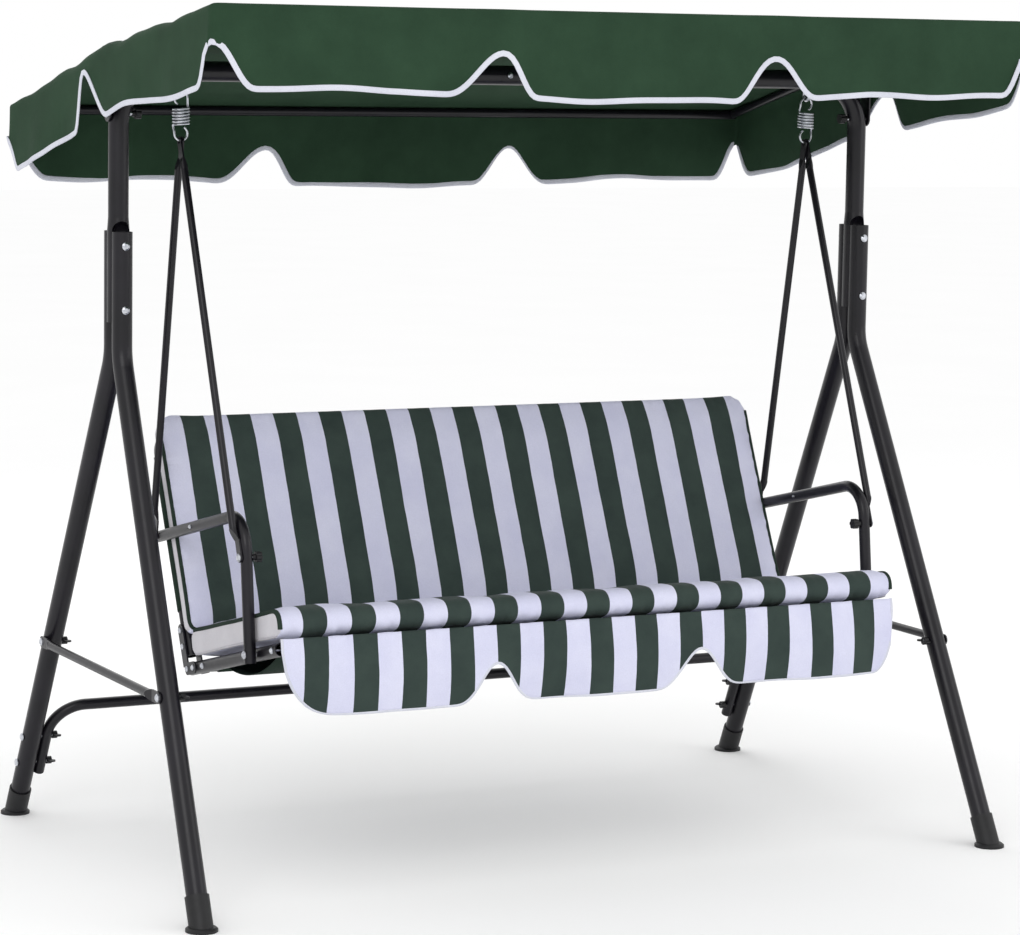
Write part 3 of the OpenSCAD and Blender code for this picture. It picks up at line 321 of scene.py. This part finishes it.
def round_corners(points, half, front, rear):
    """Draws the plan's square corners in to quarter circles, wider at the front than at the rear."""
    middle = (front + rear) / 2
    depth = (rear - front) / 2
    r = np.where(points[:, 1] < middle, ROOF_CORNER_R, ROOF_CORNER_R / 4)
    beyond = 1.2
    u = np.clip((np.abs(points[:, 0]) - half + r) / r, 0, beyond)
    v = np.clip((np.abs(points[:, 1] - middle) - depth + r) / r, 0, beyond)
    both = (u > 0) & (v > 0)
    x = np.sign(points[:, 0]) * (half - r + r * u * np.sqrt(1 - np.minimum(v, 1) ** 2 / 2))
    y = middle + np.sign(points[:, 1] - middle) * (depth - r + r * v * np.sqrt(1 - np.minimum(u, 1) ** 2 / 2))
    points[:, 0] = np.where(both, x, points[:, 0])
    points[:, 1] = np.where(both, y, points[:, 1])
    return points


def waves(s, *terms):
    """Sum of sine waves along s, each given as (amplitude, wavelength, phase)."""
    return sum(a * np.sin(2 * np.pi * s / w + p) for a, w, p in terms)


def relax(points, faces, mask, rounds):
    """Rounds the masked points towards the middle of their neighbours."""
    faces = np.array(faces)
    edges = np.unique(np.sort(np.concatenate([faces[:, [i, (i + 1) % 4]] for i in range(4)]), axis=1), axis=0)
    count = np.bincount(edges.ravel(), minlength=len(points))[:, None]
    for _ in range(rounds):
        total = np.zeros_like(points)
        np.add.at(total, edges[:, 0], points[edges[:, 1]])
        np.add.at(total, edges[:, 1], points[edges[:, 0]])
        points = np.where(mask[:, None], 0.5 * points + 0.5 * total / count, points)
    return points


def unit(v):
    return v / np.linalg.norm(v, axis=-1, keepdims=True)


def binding(name, hem, out, inward, material, body, width=BINDING_W, thick=BINDING_T, closed=True):
    """Folded tape over a hem: a flat band round the edge, its middle a little inside the cloth."""
    if closed:
        along = np.roll(hem, -1, 0) - np.roll(hem, 1, 0)
    else:
        along = np.gradient(hem, axis=0)
    along = unit(along)
    normal = unit(out - np.sum(out * along, 1, keepdims=True) * along)
    across = np.cross(along, normal)
    across *= np.sign(np.sum(across * inward))
    ring, past_hem = 12, 0.001
    points = []
    for k in range(ring):
        a = 2 * np.pi * k / ring
        # a flattened oval
        wide = np.sign(np.cos(a)) * abs(np.cos(a)) ** 0.6 * width / 2
        deep = np.sign(np.sin(a)) * abs(np.sin(a)) ** 0.8 * thick
        points.append(hem + across * (wide + width / 2 - past_hem) + normal * deep)
    count = len(hem)
    faces = []
    for k in range(ring):
        n = (k + 1) % ring
        for i in range(count if closed else count - 1):
            j = (i + 1) % count
            faces.append((k * count + i, k * count + j, n * count + j, n * count + i))
    if not closed:
        faces.append(tuple(k * count for k in range(ring)))
        faces.append(tuple(k * count + count - 1 for k in reversed(range(ring))))
    return add_piece(name, np.concatenate(points), faces, material, body)


# ---- canopy ----
def roof_heights(half, front, rear, top):
    """Two functions: the height of the roof's straight fold at y, and of its cloth at (x, y)."""
    rail_lo, rail_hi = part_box("canopy_rear_rail")
    rail_y = (rail_lo.y + rail_hi.y) / 2
    rail_z = (rail_lo.z + rail_hi.z) / 2 + RAIL_SINK
    crown_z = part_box("top_beam_left")[1].z - TUBE_R + CROWN_RISE
    front_slope = (top - crown_z) / (CROWN_Y - front)
    rear_slope = (crown_z - rail_z) / (rail_y - CROWN_Y)
    crown_blend, cloth_sink, sag = 0.003, 0.002, 0.011
    shoulder_h, shoulder_w = 0.019, 0.016
    bumpy_w = 0.06

    def fold(y):
        a = crown_z + (CROWN_Y - y) * front_slope
        b = crown_z - (y - CROWN_Y) * rear_slope
        return (a + b) / 2 - np.sqrt((a - b) ** 2 + crown_blend**2) / 2

    def roof(x, y):
        across = 1 - np.abs(x / half) ** 4
        down = np.sin(np.pi * np.clip((y - front) / (rear - front), 0, 1))
        shoulder = shoulder_h * np.clip((np.abs(x) - half + shoulder_w) / shoulder_w, 0, 1) ** 2
        creases = waves(x + 0.3 * y, (0.0009, 0.31, 0.4), (0.0006, 0.17, 1.9)) * down
        at_edge = np.exp(-(((half - np.abs(x)) / bumpy_w) ** 2))
        bumps = waves(y, (0.0030, 0.235, 0.7), (0.0018, 0.123, 2.1)) * at_edge * down**0.5
        return fold(y) - sag * across * down + creases + bumps - cloth_sink - shoulder * down**0.8

    return fold, roof


def edge_loop(nx, ny):
    """Indices of a grid's edge points, along its front, right, rear and left."""
    return (
        [i for i in range(nx - 1)]
        + [j * nx + nx - 1 for j in range(ny - 1)]
        + [(ny - 1) * nx + i for i in range(nx - 1, 0, -1)]
        + [j * nx for j in range(ny - 1, 0, -1)]
    )


def hem_drop(x, y, half, front, rear, on_side, on_end, sunk):
    """Drop of the hanging edge along the roof's edge, less its notches and what the roof has sunk there."""
    # each notch: (place, reach before it, reach after it, height)
    along_end = [
        (-half, 0.06, 0.075, 0.084),
        (-half / 3, 0.115, 0.062, 0.080),
        (half / 3, 0.085, 0.085, 0.083),
        (half, 0.05, 0.06, 0.086),
    ]
    along_left = [(front, 0.040, 0.045, 0.084), (0.098, 0.150, 0.030, 0.104), (rear, 0.07, 0.07, 0.070)]
    along_right = [(front, 0.05, 0.06, 0.086), (-0.052, 0.065, 0.120, 0.086), (rear, 0.07, 0.07, 0.070)]
    on_left, on_right = on_side & (x < 0), on_side & (x > 0)
    cuts = [skew_bell(x, *notch) * on_end for notch in along_end]
    cuts += [skew_bell(y, *notch) * on_left for notch in along_left]
    cuts += [skew_bell(y, *notch) * on_right for notch in along_right]
    end_short, left_short, left_arch = 0.014, 0.018, 0.012
    near_end = np.exp(-np.minimum(y - front, rear - y) / 0.05)
    left_less = left_short * (1 - near_end) + left_arch * bell(y + 0.15, 0.5, 1)
    outer_lobe = np.clip((np.abs(x) - half / 3) / 0.2, 0, 1)
    shorter = np.where(on_end, end_short * outer_lobe, end_short * near_end + left_less * on_left)
    drop = VALANCE - shorter - np.max(cuts, 0) - sunk
    for _ in range(2):
        drop = (np.roll(drop, 1) + 2 * drop + np.roll(drop, -1)) / 4
    return drop


def hanging_rows(edge, out, drop, rows):
    """Rows of points below the roof's edge: they swing out a little and ripple towards the hem."""
    s = np.concatenate([[0], np.cumsum(np.linalg.norm(np.diff(edge, axis=0), axis=1))])
    behind = np.clip((edge[:, 1] - 0.2) / 0.3, 0, 1)
    ripple = waves(s, (0.0038, 0.417, 1.1), (0.0020, 0.231, 0.4), (0.0006, 0.103, 2.2)) * (1 + 0.9 * behind)
    lift = waves(s, (0.0024, 0.353, 0.9), (0.0009, 0.187, 2.7))
    down = np.array([0, 0, -1.0])
    shape = []
    for r in range(1, rows):
        v = r / (rows - 1)
        swing = 0.0035 * v**2 + ripple * v**1.4 - 0.002 * (1 - v)
        shape.append(edge + out * swing[:, None] + down * (v * drop + v * lift)[:, None])
    return shape


def make_canopy(material, tape):
    lo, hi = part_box("canopy_cover")
    half, front, rear = hi.x + 0.002, lo.y - 0.001, hi.y
    fold, roof = roof_heights(half, front, rear, hi.z)

    step, rows = 0.008, 17
    nx, ny = round(2 * half / step) + 1, round((rear - front) / step) + 1
    gx, gy = np.meshgrid(np.linspace(-half, half, nx), np.linspace(front, rear, ny))
    points = np.stack([gx, gy, roof(gx, gy)], -1).reshape(-1, 3)
    faces = grid_faces(ny, nx)

    loop = edge_loop(nx, ny)
    edge = points[loop]
    x, y = edge[:, 0], edge[:, 1]
    on_side = np.abs(np.abs(x) - half) < 1e-6
    on_end = np.abs(np.abs(y - (front + rear) / 2) - (rear - front) / 2) < 1e-6
    out = unit(np.stack([np.sign(x) * on_side, np.sign(y) * on_end, 0 * x], -1).astype(float))
    drop = hem_drop(x, y, half, front, rear, on_side, on_end, fold(y) - edge[:, 2])
    base, count = len(points), len(loop)
    points = np.concatenate([points, *hanging_rows(edge, out, drop, rows)])

    def index(r, c):
        return loop[c % count] if r == 0 else base + (r - 1) * count + c % count

    faces += [
        (index(r, c), index(r + 1, c), index(r + 1, c + 1), index(r, c + 1))
        for r in range(rows - 1)
        for c in range(count)
    ]

    # the cloth turns softly over the rails and at the corners; its hem stays as it is
    roof_turn, corner_turn = 0.018, 0.02
    hem_at = base + (rows - 2) * count
    inset = np.minimum.reduce([gx + half, half - gx, gy - front, rear - gy]).ravel()
    at_corner = np.minimum(np.abs(np.abs(x) - half) + np.minimum(y - front, rear - y), 1) < corner_turn
    soft = np.zeros(len(points), bool)
    soft[:base] = inset < roof_turn
    soft[base: base + 2 * count] = True
    soft[base:] |= np.tile(at_corner, rows - 1)
    soft[hem_at:] = False
    points = round_corners(relax(points, faces, soft, 5), half, front, rear)

    cover = add_piece("canopy_cloth", points, faces, material, "canopy", CLOTH)
    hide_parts("canopy_cover")
    up = np.tile((0, 0, 1.0), (count, 1))
    hem_tape = binding("canopy_binding", points[hem_at:], out, up, tape, "canopy")


# ---- padded pieces ----
def local_frame(origin_y, origin_z, tilt):
    """A function that takes points from a frame leaning back by tilt about X to the shared frame."""
    turn = np.array([[1, 0, 0], [0, math.cos(tilt), math.sin(tilt)], [0, -math.sin(tilt), math.cos(tilt)]])
    origin = np.array([0, origin_y, origin_z])
    return lambda p: p @ turn.T + origin


def seat_frame():
    """The seat's frame: the cushion's rearmost point is its rear top edge, its lowest the rear low edge."""
    lo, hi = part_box("seat_cushion")
    origin_y = hi.y - SEAT_REAR * math.cos(SEAT_TILT) - (SEAT_LOW + SEAT_THICK) * math.sin(SEAT_TILT)
    origin_z = lo.z + SEAT_REAR * math.sin(SEAT_TILT) - SEAT_LOW * math.cos(SEAT_TILT)
    return local_frame(origin_y, origin_z, SEAT_TILT)


def back_frame():
    """The back's frame: the cushion's foremost point is its front low edge, its lowest the rear low edge."""
    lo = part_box("back_cushion")[0]
    origin_y = lo.y - (BACK_REAR - BACK_THICK) * math.cos(RECLINE) - BACK_LOW * math.sin(RECLINE)
    origin_z = lo.z + BACK_REAR * math.sin(RECLINE) - BACK_LOW * math.cos(RECLINE)
    return local_frame(origin_y, origin_z, RECLINE)


def prism(outline, axis, start, end):
    """Closed mesh of an outline in the plane across one axis (0 for X, 1 for Y), run from start to end."""
    bm = bmesh.new()
    rings = []
    for place in (start, end):
        ring = []
        for a, b in outline:
            ring.append(bm.verts.new((place, a, b) if axis == 0 else (a, place, b)))
        rings.append(ring)
    bm.faces.new(rings[0])
    bm.faces.new(rings[1])
    count = len(outline)
    for i in range(count):
        j = (i + 1) % count
        bm.faces.new((rings[0][i], rings[0][j], rings[1][j], rings[1][i]))
    bmesh.ops.recalc_face_normals(bm, faces=bm.faces)
    mesh = bpy.data.meshes.new("prism")
    bm.to_mesh(mesh)
    bm.free()
    return mesh


def rounded(x0, x1, z0, z1, radii, steps=6):
    """Rectangle outline with its own radius at each corner: low left, low right, high right, high left."""
    points = []
    for (cx, cz, sx, sz, start), r in zip(
        ((x0, z0, 1, 1, 180), (x1, z0, -1, 1, 270), (x1, z1, -1, -1, 0), (x0, z1, 1, -1, 90)), radii
    ):
        for k in range(steps + 1):
            a = math.radians(start + 90 * k / steps)
            points.append((cx + sx * r + r * math.cos(a), cz + sz * r + r * math.sin(a)))
    return points


def coordinates(mesh):
    """The mesh's points as rows of an array."""
    flat = np.zeros(len(mesh.vertices) * 3)
    mesh.vertices.foreach_get("co", flat)
    return flat.reshape(-1, 3)


def baked(piece):
    """The piece's mesh with its modifiers applied."""
    depsgraph = bpy.context.evaluated_depsgraph_get()
    depsgraph.update()
    return bpy.data.meshes.new_from_object(piece.evaluated_get(depsgraph))


def inflate(mesh):
    """Remeshes a closed form and swells it under inner pressure as cloth, by up to PAD_SWELL."""
    scene = bpy.context.scene
    piece = bpy.data.objects.new("pad", mesh)
    scene.collection.objects.link(piece)
    remesh = piece.modifiers.new("remesh", "REMESH")
    remesh.mode = "VOXEL"
    remesh.voxel_size = PAD_VOXEL
    piece.data = baked(piece)
    piece.modifiers.clear()
    rest = coordinates(piece.data)
    sim = piece.modifiers.new("swell", "CLOTH")
    sim.settings.use_pressure = True
    sim.settings.uniform_pressure_force = PAD_PRESSURE
    sim.settings.effector_weights.gravity = 0
    sim.settings.quality = 4
    scene.frame_start = 1
    for step in range(PAD_FRAMES):
        scene.frame_set(step + 1)
    swollen = coordinates(baked(piece))
    move = swollen - rest
    far = np.linalg.norm(move, axis=1, keepdims=True) + 1e-9
    rest = rest + move / far * PAD_SWELL * np.tanh(far / PAD_SWELL)
    piece.modifiers.clear()
    piece.data.vertices.foreach_set("co", rest.ravel())
    smooth = piece.modifiers.new("smooth", "SUBSURF")
    smooth.levels = smooth.render_levels = 1
    done = baked(piece)
    bpy.data.objects.remove(piece)
    return done


def fit_box(points, lo, hi):
    """Scales the swollen form so that it fills its box."""
    a, b = points.min(0), points.max(0)
    return np.array(lo) + (points - a) * (np.array(hi) - np.array(lo)) / (b - a)


def pucker(distance, along, depth=0.0011, reach=0.035):
    """Short gathers that run from a seam into the cloth: depth fades with distance from the seam."""
    fade = np.exp(-((distance / reach) ** 2)) * (1 - np.exp(-((distance / 0.006) ** 2)))
    gathers = waves(along, (0.6, 0.031, 0.3), (0.5, 0.047, 1.3), (0.4, 0.019, 2.2))
    return depth * fade * gathers


def seam_tape(name, path, surface, material, radius, closed):
    """Piping that follows a path laid on the nearest place of a pad's surface."""
    laid = []
    for p in path:
        laid.append(np.array(surface.find_nearest(Vector(p))[0]))
    laid = np.array(laid)
    for _ in range(3):
        before, after = np.roll(laid, 1, 0), np.roll(laid, -1, 0)
        if not closed:
            before[0], after[-1] = laid[0], laid[-1]
        laid = laid / 2 + (before + after) / 4
    curve = bpy.data.curves.new(name, "CURVE")
    curve.dimensions = "3D"
    curve.bevel_depth = radius
    curve.bevel_resolution = 3
    curve.use_fill_caps = True
    spline = curve.splines.new("POLY")
    spline.points.add(len(laid) - 1)
    for point, place in zip(spline.points, laid):
        point.co = (*place, 1)
    spline.use_cyclic_u = closed
    holder = bpy.data.objects.new(name, curve)
    bpy.context.scene.collection.objects.link(holder)
    mesh = baked(holder)
    bpy.data.objects.remove(holder)
    mesh.name = name
    add_mesh(name, mesh, material, "seat")


def resample(path, step, closed):
    """Points about a step apart along a path."""
    path = np.array(path, float)
    if closed:
        path = np.concatenate([path, path[:1]])
    s = np.concatenate([[0], np.cumsum(np.linalg.norm(np.diff(path, axis=0), axis=1))])
    count = max(int(s[-1] / step), 8)
    at = np.linspace(0, s[-1], count, endpoint=not closed)
    return np.stack([np.interp(at, s, path[:, i]) for i in range(3)], -1)


def finish_pad(name, mesh, place, material, paths, node):
    """Moves a pad from its leaning frame to its place and lays its piping."""
    mesh.vertices.foreach_set("co", place(coordinates(mesh)).ravel())
    mesh.update()
    mesh.name = name
    pad = add_mesh(name, mesh, material, "seat")
    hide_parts(node)
    surface = BVHTree.FromPolygons([v.co for v in mesh.vertices], [p.vertices for p in mesh.polygons])
    for suffix, path, closed, tape, radius in paths:
        route = place(resample(path, PIPING_STEP, closed))
        seam_tape(name + suffix, route, surface, tape, radius, closed)


def make_back_pad(material, dark, pale):
    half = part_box("back_cushion")[1].x
    rear, low, high = BACK_REAR, BACK_LOW, BACK_HIGH
    front = rear - BACK_THICK
    corners = (0.014, 0.014, 0.034, 0.034)
    outline = rounded(-half + PAD_INSET, half - PAD_INSET, low + PAD_INSET, high - PAD_INSET, corners)
    mesh = inflate(prism(outline, 1, front + 0.007, rear - 0.004))

    half, low, high = half + 0.010, low - 0.010, high + 0.003
    p = fit_box(coordinates(mesh), (-half, front - 0.006, low), (half, rear, high))
    from_side, from_end = half - np.abs(p[:, 0]), np.minimum(p[:, 2] - low, high - p[:, 2])
    edge = np.minimum(from_side, from_end)
    along = np.where(from_side < from_end, p[:, 2], p[:, 0])
    ahead = p[:, 1] < (front + rear) / 2
    inner = np.clip(edge / 0.08, 0, 1)
    soft = waves(p[:, 0] + 0.4 * p[:, 2], (0.0010, 0.26, 0.2), (0.0007, 0.15, 1.0)) * inner
    p[:, 1] -= np.where(ahead, soft + pucker(edge, along), 0)
    mesh.vertices.foreach_set("co", p.ravel())

    y, turn, side_top = front + 0.003, 0.010, high - 0.03
    sides = [
        (-half, y, side_top), (-half, y, low + turn), (-half + turn, y, low),
        (half - turn, y, low), (half, y, low + turn), (half, y, side_top),
    ]
    behind = [(x, rear - 0.003, z) for x, z in rounded(-half, half, low, high, (0.014, 0.014, 0.030, 0.030))]
    paths = [("_piping", sides, False, dark, 0.0038), ("_rear_piping", behind, True, pale, 0.0026)]
    finish_pad("back_pad", mesh, back_frame(), material, paths, "back_cushion")


def make_seat_pad(material, dark, pale):
    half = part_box("seat_cushion")[1].x
    rear, low = SEAT_REAR, SEAT_LOW
    high, front = low + SEAT_THICK, rear - SEAT_LONG
    corners = (0.022, 0.012, 0.012, 0.024)
    outline = rounded(front + PAD_INSET, rear - PAD_INSET, low + 0.003, high - 0.006, corners)
    mesh = inflate(prism(outline, 0, -half + PAD_INSET, half - PAD_INSET))

    half, high, front = half + 0.003, high + 0.007, front - 0.001
    sole = low + 0.0003
    p = fit_box(coordinates(mesh), (-half, front, sole), (half, rear + 0.002, high))
    edge = np.minimum(half - np.abs(p[:, 0]), p[:, 1] - front + 0.01)
    inner = np.clip(edge / 0.08, 0, 1)
    soft = waves(p[:, 0] + 0.3 * p[:, 1], (0.0012, 0.24, 0.2), (0.0008, 0.13, 1.0)) * inner
    upper = p[:, 2] > (low + high) / 2
    p[:, 2] += np.where(upper, soft + pucker(edge, p[:, 0]), 0)
    # gathers where the flap is sewn to the front roll
    roll = 0.03
    nose = np.clip((front + roll - p[:, 1]) / roll, 0, 1)
    gathers = waves(p[:, 0], (0.5, 0.033, 0.3), (0.5, 0.052, 1.3), (0.35, 0.021, 2.2))
    crease = np.exp(-(((p[:, 2] - low - 0.006) / 0.012) ** 2))
    p[:, 1] += nose * (0.0032 * gathers * crease)
    p[:, 2] += nose * (0.0022 * gathers * crease)
    p[:, 2] = np.maximum(p[:, 2], sole)
    mesh.vertices.foreach_set("co", p.ravel())

    nose_r = 0.026
    seam_rear, seam_low = rear - 0.006, low + 0.003
    paths = []
    for side, hand in ((-1, "left"), (1, "right")):
        x = side * half
        top = [(x, seam_rear, high), (x, front + nose_r, high)]
        turn = [
            (x, front + nose_r - nose_r * math.sin(a), high - nose_r + nose_r * math.cos(a))
            for a in np.linspace(0.1, math.pi / 2, 7)
        ]
        down = [(x, front, low + 0.012)]
        paths.append((f"_piping_{hand}", top + turn + down, False, dark, 0.0046))
        under = [(x, seam_rear, seam_low), (x, front + 0.02, seam_low)]
        paths.append((f"_low_piping_{hand}", under, False, pale, 0.0028))
    finish_pad("seat_pad", mesh, seat_frame(), material, paths, "seat_cushion")


# ---- hanging flap ----
def make_flap(material, tape):
    lo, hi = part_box("seat_flap")
    half, top, y0 = hi.x, hi.z, (lo.y + hi.y) / 2
    drop = hi.z - lo.z
    columns, rows = 217, 22
    x = np.linspace(-half, half, columns)
    notch_w, notch_h = 0.200, 0.074
    corner_w = np.where(x < 0, 0.118, 0.036)
    from_end = np.clip((half - np.abs(x)) / corner_w, 0, 1)
    end_share = 0.16
    length = drop * (end_share + (1 - end_share) * np.sqrt(1 - (1 - from_end) ** 2))
    notches = [bell(x - side * half / 3, notch_w, 1.9) for side in (-1, 1)]
    length = np.minimum(length, drop - notch_h * np.max(notches, 0))
    folds = waves(x, (0.0065, 0.432, 0.5), (0.0035, 0.245, 1.4), (0.0018, 0.117, 2.6))
    gathers = waves(x, (0.0012, 0.033, 0.3), (0.0010, 0.052, 1.3))
    drift = waves(x + 0.1, (0.004, 0.36, 0.4), (0.002, 0.19, 1.2))
    points = []
    for r in range(rows):
        v = r / (rows - 1)
        z = v * length
        depth = z / drop
        belly = 0.010 * np.sin(np.pi * np.clip(depth, 0, 1) * 0.9)
        y = y0 - belly - folds * depth**1.3 - gathers * math.exp(-((v / 0.12) ** 2)) + 0.004
        points.append(np.stack([x + drift * depth**1.5, y, top - z], -1))
    grid = np.array(points)
    faces = grid_faces(rows, columns)
    flap = add_piece("flap_cloth", grid.reshape(-1, 3), faces, material, "seat", CLOTH)
    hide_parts("seat_flap")
    edge = np.concatenate([grid[:-1, 0], grid[-1], grid[-2::-1, -1]])
    ahead = np.tile((0, -1.0, 0), (len(edge), 1))
    inward = grid[0].mean(0) - edge
    hem_tape = binding("flap_binding", edge, ahead, inward, tape, "seat",
                       width=0.0055, thick=0.0014, closed=False)


# ---- slings ----
def arc(cy, cz, r, start, end, steps=18):
    return [(cy + r * math.cos(a), cz + r * math.sin(a)) for a in np.radians(np.linspace(start, end, steps))]


def make_seat_sling(material):
    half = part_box("seat_sling")[1].x
    front, rear, sag = -0.395, -0.050, 0.045
    columns = 40
    shares = np.linspace(0, 1, 28)[1:-1]
    sheet = [(front + (rear - front) * u, SLING_R - 4 * sag * u * (1 - u)) for u in shares]
    path = arc(front, 0, SLING_R, 395, 110) + sheet + arc(rear, 0, SLING_R, 70, -215)
    points = seat_frame()(np.array([(x, y, z) for y, z in path for x in np.linspace(-half, half, columns)]))
    faces = grid_faces(len(path), columns)
    piece = add_piece("seat_sling_cloth", points, faces, material, "seat", SLING)
    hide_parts("seat_sling")


def make_back_sling(material):
    tube_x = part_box("back_frame_right")[1].x - FRAME_TUBE_R
    low, high, rows = 0.090, 0.400, 24
    turn = arc(tube_x, 0, SLING_R, 200, 450, 20)
    sheet = [(x, -SLING_R) for x in np.linspace(-tube_x, tube_x, 40)[1:-1]]
    section = [(-x, y) for x, y in turn[::-1]] + sheet + turn
    points = back_frame()(np.array([(x, y, z) for z in np.linspace(low, high, rows) for x, y in section]))
    faces = grid_faces(rows, len(section))
    piece = add_piece("back_sling_cloth", points, faces, material, "seat", SLING)
    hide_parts("back_sling")


# ---- the scene ----
place_camera()
light_studio()
lay_floor()

seat_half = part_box("seat_cushion")[1].x
paint = powder_coat()
metal = zinc_plate()
plastic = moulded_plastic()
green = cloth("canopy_weave", (37, 60, 43), (45, 70, 51))
sling = cloth("sling_weave", (30, 44, 36), (38, 54, 45), 0.0024)
stripes = striped_cloth("striped_weave", seat_half + 0.003)
back_stripes = striped_cloth("striped_back_weave", seat_half + 0.010)
flap_stripes = striped_cloth("striped_flap_weave", seat_half + 0.005)
dark_tape = cloth("dark_binding", (36, 48, 42), (46, 60, 52), 0.0012)
white_tape = cloth("white_binding", (206, 208, 220), (220, 222, 232), 0.0012)
pale_tape = cloth("pale_seam", (178, 176, 182), (196, 194, 200), 0.0012)

by_slot = {
    "frame_paint": paint,
    "zinc": metal,
    "plastic": plastic,
    "canopy_cloth": green,
    "sling_cloth": sling,
    "striped_cloth": stripes,
}
for name, node in frame["nodes"].items():
    node.data.materials.clear()
    node.data.materials.append(by_slot[slots[name]])

make_canopy(green, white_tape)
make_seat_pad(stripes, dark_tape, pale_tape)
make_back_pad(back_stripes, dark_tape, pale_tape)
make_flap(flap_stripes, white_tape)
make_seat_sling(sling)
make_back_sling(sling)
